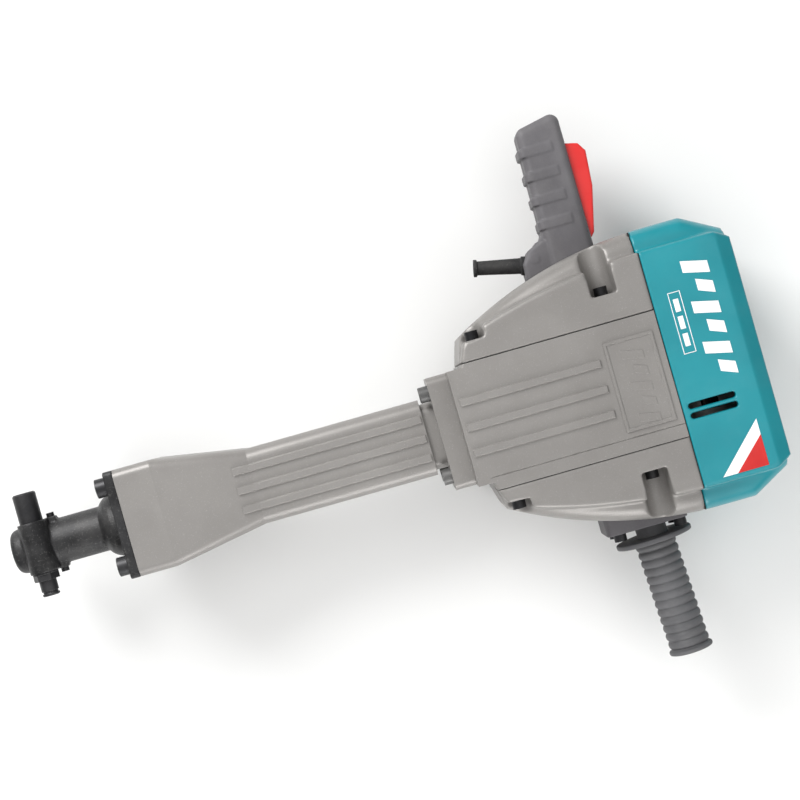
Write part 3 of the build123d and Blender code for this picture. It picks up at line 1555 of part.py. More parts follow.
def main():
    os.makedirs("parts", exist_ok=True)
    envelope = body_envelope()
    cavity = body_cavity()
    nodes = {
        "nose_housing": nose_housing(),
        "nose_flange_bolts": nose_flange_bolts(),
        "detent_screws": detent_screws(),
        "tool_sleeve": tool_sleeve(),
        "lock_pin": lock_pin(),
        "lock_pin_collar": lock_pin_collar(),
        "lock_pin_spring": lock_pin_spring(),
        "lock_pin_nut": lock_pin_nut(),
        "impact_bolt": impact_bolt(),
        "impact_bolt_bushing": impact_bolt_bushing(),
        "damper_rings": damper_rings(),
        "barrel_housing": barrel_housing(),
        "barrel_flange_bolts": barrel_flange_bolts(),
        "cylinder": cylinder(),
        "ram": ram(),
        "piston": piston(),
        "piston_rings": piston_rings(),
        "piston_pin": piston_pin(),
        "connecting_rod": connecting_rod(),
        "crank_pin": crank_pin(),
        "crankshaft": crankshaft(),
        "crank_gear": crank_gear(),
        "crank_bearing_inner": crank_bearing_inner(),
        "bearing_outer_rings": bearing_outer_rings(),
        "idler_shaft": idler_shaft(),
        "idler_gear": idler_gear(),
        "armature_shaft": armature_shaft(),
        "armature_core": armature_core(),
        "armature_windings": armature_windings(),
        "commutator": commutator(),
        "fan": fan(),
        "motor_bearing_inner": motor_bearing_inner(),
        "stator_core": stator_core(),
        "field_coils": field_coils(),
        "motor_housing": motor_housing(),
        "brush_holders": brush_holders(),
        "carbon_brushes": carbon_brushes(),
        "crankcase": crankcase(envelope),
        "crankcase_cover": crankcase_cover(),
        "gear_cover": gear_cover(),
        "upper_shell": body_shell(envelope, cavity, 1),
        "lower_shell": body_shell(envelope, cavity, -1),
        "shell_gaskets": shell_gaskets(envelope, cavity),
        "shell_screws": shell_screws(),
        "rear_cover": rear_cover(envelope, cavity),
        "rear_cover_screws": rear_cover_screws(),
        "nameplate": nameplate(),
        "handle_top_half": handle_half(envelope, 1),
        "handle_bottom_half": handle_half(envelope, -1),
        "handle_screws": handle_screws(),
        "trigger": trigger(),
        "trigger_pin": trigger_pin(),
        "trigger_spring": trigger_spring(),
        "switch_body": switch_body(),
        "switch_plunger": switch_plunger(),
        "cable_guard": cable_guard(),
        "side_handle_bracket": side_handle_bracket(envelope),
        "side_handle_bolts": side_handle_bolts(),
        "side_handle_core": side_handle_core(),
        "side_grip": side_grip(),
    }
    for name, shape in nodes.items():
        export_step(shape, f"parts/{name}.step")
        print(name, len(shape.solids()), round(shape.volume / 1000, 2))


main()
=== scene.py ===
import json
import math

import bpy
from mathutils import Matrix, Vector


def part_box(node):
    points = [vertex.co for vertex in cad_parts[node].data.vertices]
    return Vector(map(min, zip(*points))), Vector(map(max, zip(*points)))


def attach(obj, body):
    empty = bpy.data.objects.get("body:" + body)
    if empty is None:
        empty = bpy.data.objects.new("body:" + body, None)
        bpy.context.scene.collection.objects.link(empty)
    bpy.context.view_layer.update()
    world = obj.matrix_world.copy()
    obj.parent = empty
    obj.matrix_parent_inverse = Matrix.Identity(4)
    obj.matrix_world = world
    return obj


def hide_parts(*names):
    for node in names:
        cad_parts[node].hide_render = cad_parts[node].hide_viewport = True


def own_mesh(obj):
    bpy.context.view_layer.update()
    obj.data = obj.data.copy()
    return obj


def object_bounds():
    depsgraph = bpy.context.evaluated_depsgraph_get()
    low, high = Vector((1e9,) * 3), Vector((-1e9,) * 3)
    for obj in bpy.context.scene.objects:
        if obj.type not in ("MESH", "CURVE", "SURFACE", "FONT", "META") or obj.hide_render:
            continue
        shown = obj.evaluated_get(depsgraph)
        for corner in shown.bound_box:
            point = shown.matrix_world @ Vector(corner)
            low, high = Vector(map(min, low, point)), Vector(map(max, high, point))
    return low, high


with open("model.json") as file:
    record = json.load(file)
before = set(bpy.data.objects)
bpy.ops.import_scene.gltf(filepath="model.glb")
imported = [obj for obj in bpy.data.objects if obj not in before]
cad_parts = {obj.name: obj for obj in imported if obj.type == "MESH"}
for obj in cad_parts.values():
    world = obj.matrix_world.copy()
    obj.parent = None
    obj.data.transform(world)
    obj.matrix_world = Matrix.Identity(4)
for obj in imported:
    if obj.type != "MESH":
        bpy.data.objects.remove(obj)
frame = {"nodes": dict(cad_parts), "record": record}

nodes = frame["nodes"]
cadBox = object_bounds()


def srgb(red, green, blue):
    # 0-255 colour to the linear value a socket wants
    steps = []
    for value in (red, green, blue):
        part = value / 255
        steps.append(part / 12.92 if part <= 0.04045 else ((part + 0.055) / 1.055) ** 2.4)
    return (steps[0], steps[1], steps[2], 1.0)


# camera, light, floor

view = {
    "eye": (0.4155, 0.0435, 1.72),
    "roll": -15.8,
    "lens": 76.5,
    "sensor": 36.0,
    "clipEnd": 50.0,
    "target": (0.42, 0.02, 0.0),
    "floorSize": 9.0,
    "floorColour": (232, 232, 231),
    "floorRoughness": 0.9,
    "worldColour": (255, 255, 255),
    "roomTop": 0.5,
    "roomSide": 0.2,
    "roomHeights": (0.1, 0.9),
    "backdropStrength": 0.8,
}

# the top lamp lights without showing in the gloss
lamps = {
    "keyLamp": {"power": 46.0, "size": 1.1, "place": (-0.45, 1.5, 1.3), "shine": True},
    "topLamp": {"power": 22.0, "size": 2.6, "place": (0.42, 0.05, 2.4), "shine": False},
    "fillLamp": {"power": 6.0, "size": 1.6, "place": (1.5, -1.2, 1.4), "shine": True},
    "rimLamp": {"power": 16.0, "size": 0.9, "place": (0.3, -1.6, 0.7), "shine": True},
}


def addCamera():
    data = bpy.data.cameras.new("studioCamera")
    data.lens = view["lens"]
    data.sensor_width = view["sensor"]
    data.clip_end = view["clipEnd"]
    camera = bpy.data.objects.new("studioCamera", data)
    camera.location = view["eye"]
    camera.rotation_euler = (0.0, 0.0, math.radians(view["roll"]))
    bpy.context.scene.collection.objects.link(camera)
    bpy.context.scene.camera = camera


def addLamp(name, look):
    data = bpy.data.lights.new(name, "AREA")
    data.energy = look["power"]
    data.size = look["size"]
    lamp = bpy.data.objects.new(name, data)
    lamp.location = look["place"]
    lamp.visible_glossy = look["shine"]
    aim = Vector(view["target"]) - Vector(look["place"])
    lamp.rotation_euler = aim.to_track_quat("-Z", "Y").to_euler()
    bpy.context.scene.collection.objects.link(lamp)


def addStudio():
    world = bpy.data.worlds.new("paleRoom")
    world.use_nodes = True
    tree = world.node_tree
    backdrop = tree.nodes["Background"]
    backdrop.inputs["Color"].default_value = srgb(*view["worldColour"])
    # the room lights more from above than from its walls, and shows as a pale backdrop
    direction = tree.nodes.new("ShaderNodeTexCoord")
    split = tree.nodes.new("ShaderNodeSeparateXYZ")
    tree.links.new(direction.outputs["Generated"], split.inputs[0])
    light = tree.nodes.new("ShaderNodeMapRange")
    tree.links.new(split.outputs["Z"], light.inputs["Value"])
    light.inputs["From Min"].default_value = view["roomHeights"][0]
    light.inputs["From Max"].default_value = view["roomHeights"][1]
    light.inputs["To Min"].default_value = view["roomSide"]
    light.inputs["To Max"].default_value = view["roomTop"]
    ray = tree.nodes.new("ShaderNodeLightPath")
    choice = tree.nodes.new("ShaderNodeMix")
    tree.links.new(ray.outputs["Is Camera Ray"], choice.inputs["Factor"])
    tree.links.new(light.outputs["Result"], choice.inputs["A"])
    choice.inputs["B"].default_value = view["backdropStrength"]
    tree.links.new(choice.outputs["Result"], backdrop.inputs["Strength"])
    bpy.context.scene.world = world
    bpy.context.scene.view_settings.view_transform = "Standard"
    for name, look in lamps.items():
        addLamp(name, look)
    bpy.ops.mesh.primitive_plane_add(size=view["floorSize"], location=(0, 0, cadBox[0][2]))
    floor = bpy.context.object
    floor.name = "studioFloor"
    paint = bpy.data.materials.new("palePaper")
    paint.use_nodes = True
    shader = paint.node_tree.nodes["Principled BSDF"]
    shader.inputs["Base Color"].default_value = srgb(*view["floorColour"])
    shader.inputs["Roughness"].default_value = view["floorRoughness"]
    floor.data.materials.append(paint)


addCamera()
addStudio()
print("camera, lamps and floor are in place")

# shared effects

effects = {
    "bevelSamples": 4, "wearTurn": (0.02, 0.22), "wearPatch": (0.34, 0.62),
    "pitShare": 0.45, "pitMiddle": 0.45,
    "dustFacing": (0.2, 0.95), "dustPatch": (0.42, 0.72), "dustScale": 22.0,
    "cloudRange": (0.3, 0.7),
}


def newGroup(name, takes, gives):
    group = bpy.data.node_groups.new(name, "ShaderNodeTree")
    for label, kind, value in takes:
        socket = group.interface.new_socket(label, in_out="INPUT", socket_type=kind)
        if value is not None:
            socket.default_value = value
    for label, kind in gives:
        group.interface.new_socket(label, in_out="OUTPUT", socket_type=kind)
    return group, group.nodes.new("NodeGroupInput"), group.nodes.new("NodeGroupOutput")


def mathNode(tree, operation, first, second, clamp=False):
    node = tree.nodes.new("ShaderNodeMath")
    node.operation = operation
    node.use_clamp = clamp
    for index, value in enumerate((first, second)):
        if isinstance(value, (int, float)):
            node.inputs[index].default_value = value
        else:
            tree.links.new(value, node.inputs[index])
    return node.outputs[0]


def noiseNode(tree, scale, detail, roughness=0.55, vector=None):
    node = tree.nodes.new("ShaderNodeTexNoise")
    node.inputs["Detail"].default_value = detail
    node.inputs["Roughness"].default_value = roughness
    if isinstance(scale, (int, float)):
        node.inputs["Scale"].default_value = scale
    else:
        tree.links.new(scale, node.inputs["Scale"])
    if vector is not None:
        tree.links.new(vector, node.inputs["Vector"])
    return node.outputs["Fac"]


def rampNode(tree, value, ends):
    node = tree.nodes.new("ShaderNodeMapRange")
    node.interpolation_type = "SMOOTHSTEP"
    tree.links.new(value, node.inputs["Value"])
    node.inputs["From Min"].default_value = ends[0]
    node.inputs["From Max"].default_value = ends[1]
    return node.outputs["Result"]


def edgeWearGroup():
    # Bright where a narrow rounding turns the surface, broken up by noise
    group, takes, gives = newGroup(
        "edgeWear",
        [("Radius", "NodeSocketFloat", 0.001), ("Breakup", "NodeSocketFloat", 60.0)],
        [("Mask", "NodeSocketFloat"), ("Normal", "NodeSocketVector")],
    )
    links = group.links
    rounded = group.nodes.new("ShaderNodeBevel")
    rounded.samples = effects["bevelSamples"]
    links.new(takes.outputs["Radius"], rounded.inputs["Radius"])
    geometry = group.nodes.new("ShaderNodeNewGeometry")
    dot = group.nodes.new("ShaderNodeVectorMath")
    dot.operation = "DOT_PRODUCT"
    links.new(rounded.outputs["Normal"], dot.inputs[0])
    links.new(geometry.outputs["Normal"], dot.inputs[1])
    turn = mathNode(group, "SUBTRACT", 1.0, dot.outputs["Value"])
    edge = rampNode(group, turn, effects["wearTurn"])
    spot = group.nodes.new("ShaderNodeTexCoord")
    broken = noiseNode(group, takes.outputs["Breakup"], 4.0, 0.6, spot.outputs["Object"])
    patch = rampNode(group, broken, effects["wearPatch"])
    links.new(mathNode(group, "MULTIPLY", edge, patch), gives.inputs["Mask"])
    links.new(rounded.outputs["Normal"], gives.inputs["Normal"])
    return group


def castGrainGroup():
    # Fine and coarse grain of a cast or moulded skin
    group, takes, gives = newGroup(
        "castGrain",
        [("Fine", "NodeSocketFloat", 1400.0), ("Coarse", "NodeSocketFloat", 30.0),
         ("Pitting", "NodeSocketFloat", 0.3)],
        [("Height", "NodeSocketFloat"), ("Cloud", "NodeSocketFloat")],
    )
    links = group.links
    spot = group.nodes.new("ShaderNodeTexCoord")
    fine = noiseNode(group, takes.outputs["Fine"], 3.0, 0.6, spot.outputs["Object"])
    cloud = noiseNode(group, takes.outputs["Coarse"], 5.0, 0.55, spot.outputs["Object"])
    cells = group.nodes.new("ShaderNodeTexVoronoi")
    cellScale = mathNode(group, "MULTIPLY", takes.outputs["Fine"], effects["pitShare"])
    links.new(cellScale, cells.inputs["Scale"])
    links.new(spot.outputs["Object"], cells.inputs["Vector"])
    sunk = mathNode(group, "SUBTRACT", cells.outputs["Distance"], effects["pitMiddle"])
    pit = mathNode(group, "MULTIPLY", sunk, takes.outputs["Pitting"])
    links.new(mathNode(group, "ADD", fine, pit), gives.inputs["Height"])
    links.new(cloud, gives.inputs["Cloud"])
    return group


def settledDustGroup():
    # Dust that lies on faces looking up, thicker in some places
    group, takes, gives = newGroup(
        "settledDust",
        [("Scale", "NodeSocketFloat", 22.0), ("Amount", "NodeSocketFloat", 0.2)],
        [("Mask", "NodeSocketFloat")],
    )
    links = group.links
    spot = group.nodes.new("ShaderNodeTexCoord")
    geometry = group.nodes.new("ShaderNodeNewGeometry")
    split = group.nodes.new("ShaderNodeSeparateXYZ")
    links.new(geometry.outputs["Normal"], split.inputs[0])
    facing = rampNode(group, split.outputs["Z"], effects["dustFacing"])
    cloud = noiseNode(group, takes.outputs["Scale"], 6.0, 0.65, spot.outputs["Object"])
    patch = rampNode(group, cloud, effects["dustPatch"])
    both = mathNode(group, "MULTIPLY", facing, patch)
    links.new(mathNode(group, "MULTIPLY", both, takes.outputs["Amount"]), gives.inputs["Mask"])
    return group


edgeWear = edgeWearGroup()
castGrain = castGrainGroup()
settledDust = settledDustGroup()


def groupNode(tree, group, values):
    node = tree.nodes.new("ShaderNodeGroup")
    node.node_tree = group
    for label, value in values.items():
        node.inputs[label].default_value = value
    return node


def mixColour(tree, mask, first, second):
    node = tree.nodes.new("ShaderNodeMix")
    node.data_type = "RGBA"
    tree.links.new(mask, node.inputs["Factor"])
    for label, value in (("A", first), ("B", second)):
        socket = [s for s in node.inputs if s.name == label and s.type == "RGBA"][0]
        if isinstance(value, tuple):
            socket.default_value = value
        else:
            tree.links.new(value, socket)
    return [s for s in node.outputs if s.type == "RGBA"][0]


def makeFinish(name, look):
    # One finish: clouded colour, worn edges, dust, grain in roughness and bump
    paint = bpy.data.materials.new(name)
    paint.use_nodes = True
    tree = paint.node_tree
    shader = tree.nodes["Principled BSDF"]
    grain = groupNode(tree, castGrain, {
        "Fine": look["fine"], "Coarse": look["coarse"], "Pitting": look["pitting"]})
    wear = groupNode(tree, edgeWear, {"Radius": look["round"], "Breakup": look["breakup"]})
    dust = groupNode(tree, settledDust, {"Scale": effects["dustScale"], "Amount": look["dust"]})
    clouded = rampNode(tree, grain.outputs["Cloud"], effects["cloudRange"])
    colour = mixColour(tree, clouded, look["dark"], look["light"])
    speckle = rampNode(tree, grain.outputs["Height"], look["speckle"][:2])
    speckle = mathNode(tree, "MULTIPLY", speckle, look["speckle"][2])
    colour = mixColour(tree, speckle, colour, look["speckleColour"])
    worn = mathNode(tree, "MULTIPLY", wear.outputs["Mask"], look["wear"])
    colour = mixColour(tree, worn, colour, look["worn"])
    colour = mixColour(tree, dust.outputs["Mask"], colour, look["dustColour"])
    tree.links.new(colour, shader.inputs["Base Color"])
    spread = mathNode(tree, "MULTIPLY", clouded, look["rough"][1] - look["rough"][0])
    rough = mathNode(tree, "ADD", spread, look["rough"][0])
    fineRough = mathNode(tree, "MULTIPLY", grain.outputs["Height"], look["rough"][2])
    rough = mathNode(tree, "ADD", rough, fineRough, True)
    tree.links.new(rough, shader.inputs["Roughness"])
    shader.inputs["Metallic"].default_value = look["metallic"]
    if "coat" in look:
        shader.inputs["Coat Weight"].default_value = look["coat"][0]
        shader.inputs["Coat Roughness"].default_value = look["coat"][1]
    bump = tree.nodes.new("ShaderNodeBump")
    bump.inputs["Strength"].default_value = look["bump"][0]
    bump.inputs["Distance"].default_value = look["bump"][1]
    tree.links.new(grain.outputs["Height"], bump.inputs["Height"])
    tree.links.new(wear.outputs["Normal"], bump.inputs["Normal"])
    tree.links.new(bump.outputs["Normal"], shader.inputs["Normal"])
    return paint


baseLook = {
    "dark": srgb(134, 131, 128), "light": srgb(142, 139, 136),
    "fine": 1500.0, "coarse": 9.0, "pitting": 0.3,
    "round": 0.0009, "breakup": 90.0, "wear": 0.45, "worn": srgb(206, 203, 198),
    "dust": 0.05, "dustColour": srgb(196, 192, 186),
    "speckle": (0.62, 0.8, 0.3), "speckleColour": srgb(200, 198, 194),
    "rough": (0.34, 0.38, 0.08), "metallic": 0.3, "bump": (0.22, 0.0002),
}


def finishLike(**changes):
    look = dict(baseLook)
    look.update(changes)
    return look


finishes = {
    "painted_casting": finishLike(),
    "cast_black": finishLike(
        dark=srgb(34, 34, 35), light=srgb(52, 52, 53), fine=900.0, coarse=40.0, pitting=0.4,
        round=0.0012, wear=0.4, worn=srgb(110, 109, 108), dust=0.04,
        speckle=(0.6, 0.8, 0.3), speckleColour=srgb(120, 119, 117),
        rough=(0.32, 0.44, 0.1), metallic=0.4, bump=(0.5, 0.0005)),
    "tool_steel": finishLike(
        dark=srgb(96, 96, 98), light=srgb(128, 128, 130), fine=900.0, round=0.0006,
        wear=0.6, worn=srgb(190, 190, 192), rough=(0.26, 0.38, 0.08), metallic=0.95,
        speckle=(0.62, 0.85, 0.2), bump=(0.2, 0.0002), dust=0.02),
    "black_steel": finishLike(
        dark=srgb(44, 44, 46), light=srgb(62, 62, 64), fine=1200.0, round=0.0006,
        wear=0.6, worn=srgb(150, 150, 150), rough=(0.3, 0.42, 0.08), metallic=0.7,
        speckle=(0.62, 0.85, 0.3), speckleColour=srgb(110, 110, 110), bump=(0.25, 0.0002)),
    "zinc_steel": finishLike(
        dark=srgb(92, 92, 92), light=srgb(112, 112, 110), fine=1200.0, round=0.0008,
        wear=0.5, worn=srgb(180, 180, 178), rough=(0.4, 0.5, 0.08), metallic=0.6,
        bump=(0.2, 0.0002)),
    "bronze": finishLike(
        dark=srgb(150, 112, 66), light=srgb(186, 144, 92), metallic=0.9, rough=(0.3, 0.42, 0.06)),
    "rubber_seal": finishLike(
        dark=srgb(24, 24, 25), light=srgb(34, 34, 35), metallic=0.0, wear=0.1,
        rough=(0.6, 0.72, 0.1), speckle=(0.6, 0.8, 0.1)),
    "bare_casting": finishLike(
        dark=srgb(168, 168, 166), light=srgb(188, 188, 186), fine=600.0, pitting=0.6,
        metallic=0.8, rough=(0.42, 0.54, 0.1), bump=(0.4, 0.0004)),
    "iron_laminations": finishLike(
        dark=srgb(96, 95, 96), light=srgb(124, 123, 124), metallic=0.8, rough=(0.4, 0.5, 0.1)),
    "copper": finishLike(
        dark=srgb(150, 78, 40), light=srgb(196, 110, 62), metallic=0.85, rough=(0.3, 0.42, 0.08),
        worn=srgb(226, 150, 104)),
    "fan_plastic": finishLike(
        dark=srgb(28, 28, 30), light=srgb(38, 38, 40), metallic=0.0, wear=0.1,
        speckle=(0.6, 0.8, 0.1)),
    "carbon": finishLike(
        dark=srgb(34, 34, 36), light=srgb(50, 50, 52), metallic=0.1, wear=0.2,
        speckle=(0.6, 0.8, 0.2)),
    "teal_cover": finishLike(
        dark=srgb(12, 126, 137), light=srgb(16, 138, 149), fine=2200.0, coarse=9.0, pitting=0.15,
        round=0.0014, wear=0.22, worn=srgb(110, 200, 206), dust=0.03,
        dustColour=srgb(150, 190, 194), speckle=(0.66, 0.9, 0.12), speckleColour=srgb(60, 170, 178),
        rough=(0.3, 0.36, 0.05), metallic=0.0, bump=(0.12, 0.0001), coat=(0.25, 0.15)),
    "handle_plastic": finishLike(
        dark=srgb(86, 84, 87), light=srgb(100, 98, 101), fine=1800.0, coarse=18.0, pitting=0.5,
        round=0.0012, wear=0.3, worn=srgb(150, 148, 150), speckle=(0.62, 0.85, 0.2),
        speckleColour=srgb(130, 128, 130), rough=(0.46, 0.56, 0.1), metallic=0.0,
        bump=(0.4, 0.0003)),
    "grip_rubber": finishLike(
        dark=srgb(82, 82, 84), light=srgb(96, 96, 98), fine=1500.0, coarse=20.0, pitting=0.5,
        round=0.0012, wear=0.3, worn=srgb(140, 140, 142), speckle=(0.62, 0.85, 0.15),
        speckleColour=srgb(120, 120, 122), rough=(0.5, 0.62, 0.1), metallic=0.0,
        bump=(0.4, 0.0003)),
    "trigger_red": finishLike(
        dark=srgb(214, 28, 26), light=srgb(230, 40, 36), fine=2200.0, coarse=12.0, pitting=0.15,
        round=0.0016, wear=0.3, worn=srgb(255, 128, 118), dust=0.02,
        speckle=(0.66, 0.9, 0.1), speckleColour=srgb(240, 90, 84),
        rough=(0.28, 0.36, 0.05), metallic=0.0, bump=(0.12, 0.0001), coat=(0.25, 0.15)),
}

paints = {name: makeFinish(name + "Paint", look) for name, look in finishes.items()}


def slotOf(nodeName):
    for part in frame["record"]["subparts"]:
        if part["node"] == nodeName:
            return part["material_slot"]


# nodes that look different from the rest of their material
finishOf = {"rear_cover_screws": "zinc_steel", "side_handle_core": "grip_rubber"}

for name, piece in nodes.items():
    piece.data.materials.clear()
    piece.data.materials.append(paints[finishOf.get(name, slotOf(name))])
print("finishes are on", len(nodes), "nodes")

# pieces softened from the frame's shapes


def selectOnly(piece):
    bpy.ops.object.select_all(action="DESELECT")
    bpy.context.view_layer.objects.active = piece
    piece.select_set(True)


def startEdit(piece):
    selectOnly(piece)
    bpy.ops.object.mode_set(mode="EDIT")


def endEdit():
    bpy.ops.object.mode_set(mode="OBJECT")


def applyModifier(piece, kind, **settings):
    selectOnly(piece)
    modifier = piece.modifiers.new("step", kind)
    for label, value in settings.items():
        setattr(modifier, label, value)
    bpy.ops.object.modifier_apply(modifier=modifier.name)


copyLook = {"mergeDistance": 0.000002, "skinAngle": 60, "springAngle": 40}


def mergedCopy(name, source):
    # A copy of one of the frame's shapes, its loose triangles merged
    piece = nodes[source].copy()
    piece.data = nodes[source].data.copy()
    piece.name = name
    piece.parent = None
    piece.matrix_world.identity()
    bpy.context.scene.collection.objects.link(piece)
    startEdit(piece)
    bpy.ops.mesh.select_all(action="SELECT")
    bpy.ops.mesh.remove_doubles(threshold=copyLook["mergeDistance"])
    endEdit()
    return piece


def standFor(piece, source, paintName):
    # The piece takes over the node's finish, place and body
    piece.data.materials.clear()
    piece.data.materials.append(paints[paintName])
    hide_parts(source)
    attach(piece, bodyOf[source])


def softCopy(name, source, soft, zone=None):
    # A cast or moulded skin over the same solid: voxels, eased corners, fewer faces
    piece = mergedCopy(name, source)
    applyModifier(piece, "REMESH", mode="VOXEL", voxel_size=soft["voxel"])
    applyModifier(piece, "SMOOTH", factor=0.5, iterations=soft["ease"])
    if zone is not None:
        group = piece.vertex_groups.new(name="zone")
        for vertex in piece.data.vertices:
            weight = zone(vertex.co)
            if weight > 0:
                group.add([vertex.index], weight, "REPLACE")
        applyModifier(piece, "SMOOTH", factor=0.5, iterations=soft["zoneEase"], vertex_group="zone")
        piece.vertex_groups.clear()
    applyModifier(piece, "DECIMATE", decimate_type="COLLAPSE", ratio=soft["keep"])
    bpy.ops.object.shade_smooth_by_angle(angle=math.radians(copyLook["skinAngle"]))
    standFor(piece, source, slotOf(source))
    print(name, "has", len(piece.data.polygons), "faces")


bodyOf = {}
for bodyName, members in frame["record"]["behaviour"]["bodies"].items():
    for nodeName in members:
        bodyOf[nodeName] = bodyName

# body outline in metres, for easing the channel beside the raised face
outline = {
    "arcX": 0.6904, "arcRadius": 0.616, "halfWidth": 0.118, "seamX": 0.6724, "seamGap": 0.0025,
    "flankInside": 0.009, "flankOutside": 0.014, "flankHeight": 0.060,
}


def channelEdge(x):
    # half width of the raised face at this length
    run = min(x, outline["arcX"]) - outline["arcX"]
    drop = outline["arcRadius"] - math.sqrt(outline["arcRadius"] ** 2 - run ** 2)
    return outline["halfWidth"] - drop


def channelZone(point):
    # full easing on the flank between raised face and outer band, none near a joint
    side = abs(point.y)
    height = abs(point.z)
    edge = channelEdge(point.x)
    if side < edge - outline["flankInside"] or side > edge + outline["flankOutside"]:
        return 0.0
    if height < outline["flankHeight"]:
        return 0.0
    if abs(point.x - outline["seamX"]) < outline["seamGap"]:
        return 0.0
    return 1.0


castSoft = {"voxel": 0.0014, "ease": 2, "zoneEase": 26, "keep": 0.5}
coverSoft = {"voxel": 0.0015, "ease": 3, "zoneEase": 30, "keep": 0.5}
noseSoft = {"voxel": 0.0009, "ease": 7, "keep": 0.5}
gripSoft = {"voxel": 0.0008, "ease": 6, "keep": 0.5}
triggerSoft = {"voxel": 0.0007, "ease": 8, "keep": 0.5}
guardSoft = {"voxel": 0.0005, "ease": 3, "keep": 0.5}
bracketSoft = {"voxel": 0.0008, "ease": 4, "keep": 0.4}

softCopy("upperShellSkin", "upper_shell", castSoft, channelZone)
softCopy("lowerShellSkin", "lower_shell", castSoft, channelZone)
softCopy("coverSkin", "rear_cover", coverSoft, channelZone)
softCopy("noseSkin", "nose_housing", noseSoft)
softCopy("handleTopSkin", "handle_top_half", gripSoft)
softCopy("handleBottomSkin", "handle_bottom_half", gripSoft)
softCopy("triggerSkin", "trigger", triggerSoft)
softCopy("cableGuardSkin", "cable_guard", guardSoft)
softCopy("bracketSkin", "side_handle_bracket", bracketSoft)

# side grip: rounded rings turned about the handle's own axis

gripRings = {
    "lean": 2.9, "neck": 0.012, "collarThick": 0.005, "collarEdge": 0.0012, "bore": 0.0101,
    "radius": 0.0209, "rings": 13, "pitch": 0.0086, "groove": 0.0021, "sharpness": 1.25,
    "rimRise": 0.0016, "rimLength": 0.0058, "rimEdge": 0.0016, "boreEnd": 0.0028,
    "stepsPerRing": 9, "turnSteps": 80, "edgeSteps": 4, "mergeDistance": 0.00001, "shadeAngle": 50,
}


def turnedPiece(name, points, steps):
    # One vertex is extruded along the (radius, height) points, then spun about Z
    bpy.ops.object.select_all(action="DESELECT")
    bpy.ops.mesh.primitive_plane_add(size=0.01, location=(0, 0, 0))
    piece = bpy.context.object
    piece.name = name
    startEdit(piece)
    bpy.ops.mesh.select_mode(type="VERT")
    bpy.ops.mesh.select_all(action="SELECT")
    bpy.ops.mesh.merge(type="CENTER")
    bpy.ops.transform.translate(value=(points[0][0], 0, points[0][1]))
    for start, end in zip(points, points[1:]):
        step = (end[0] - start[0], 0, end[1] - start[1])
        bpy.ops.mesh.extrude_region_move(TRANSFORM_OT_translate={"value": step})
    bpy.ops.mesh.select_all(action="SELECT")
    bpy.ops.mesh.spin(steps=steps, angle=2 * math.pi, center=(0, 0, 0), axis=(0, 0, 1))
    bpy.ops.mesh.select_all(action="SELECT")
    bpy.ops.mesh.remove_doubles(threshold=gripRings["mergeDistance"])
    bpy.ops.mesh.normals_make_consistent(inside=False)
    endEdit()
    return piece


def roundedEdge(radius, height, edge, rising):
    # quarter round at the outer corner of a disc
    points = []
    for step in range(gripRings["edgeSteps"] + 1):
        angle = math.pi / 2 * step / gripRings["edgeSteps"]
        out = radius - edge + edge * math.sin(angle)
        up = height + edge - edge * math.cos(angle)
        if not rising:
            out = radius - edge + edge * math.cos(angle)
            up = height - edge + edge * math.sin(angle)
        points.append((out, up))
    return points


def addSideGrip():
    low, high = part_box("side_grip")
    collarRadius = high[2]
    start = gripRings["neck"]
    collarEnd = start + gripRings["collarThick"]
    points = [(gripRings["bore"], start)]
    points += roundedEdge(collarRadius, start, gripRings["collarEdge"], True)
    points += roundedEdge(collarRadius, collarEnd, gripRings["collarEdge"], False)
    count = gripRings["rings"] * gripRings["stepsPerRing"]
    for step in range(count + 1):
        part = step / gripRings["stepsPerRing"]
        dip = (1 - abs(math.sin(math.pi * part))) ** gripRings["sharpness"]
        radius = gripRings["radius"] - gripRings["groove"] * dip
        points.append((radius, collarEnd + part * gripRings["pitch"]))
    ringEnd = collarEnd + gripRings["rings"] * gripRings["pitch"]
    rimRadius = gripRings["radius"] + gripRings["rimRise"]
    rimEnd = ringEnd + gripRings["rimLength"]
    points += roundedEdge(rimRadius, ringEnd + gripRings["rimEdge"], gripRings["rimEdge"], True)
    points += roundedEdge(rimRadius, rimEnd, gripRings["rimEdge"], False)
    boreEnd = rimEnd - gripRings["boreEnd"]
    points += [(0, rimEnd), (0, boreEnd), (gripRings["bore"], boreEnd), points[0]]
    grip = turnedPiece("sideGripRings", points, gripRings["turnSteps"])
    lean = math.radians(gripRings["lean"])
    axis = Vector((math.sin(lean), -math.cos(lean), 0))
    middleX = (low[0] + high[0]) / 2 - axis.x * (start + gripRings["collarThick"] / 2)
    rootY = high[1] - axis.y * start - axis.x * collarRadius
    grip.rotation_euler = axis.to_track_quat("Z", "Y").to_euler()
    grip.location = (middleX, rootY, 0)
    selectOnly(grip)
    bpy.ops.object.transform_apply(location=True, rotation=True, scale=True)
    bpy.ops.object.shade_smooth_by_angle(angle=math.radians(gripRings["shadeAngle"]))
    standFor(grip, "side_grip", "grip_rubber")
    print("side grip has", len(grip.data.polygons), "faces")


addSideGrip()

# springs: merged, smoothed copies of the frame's coils

springs = {
    "lockPinSpringCoil": {"node": "lock_pin_spring", "joint": "lock_pin_pull", "axis": (0, 1, 0),
                          "fixedEnd": "high", "travel": 0.0047},
    "triggerSpringCoil": {"node": "trigger_spring", "joint": "trigger_squeeze", "axis": (1, 0, 0),
                          "fixedEnd": "low", "travel": 0.0102},
}


def addSpring(name, spring):
    coil = mergedCopy(name, spring["node"])
    bpy.ops.object.shade_smooth_by_angle(angle=math.radians(copyLook["springAngle"]))
    standFor(coil, spring["node"], slotOf(spring["node"]))
    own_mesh(coil)


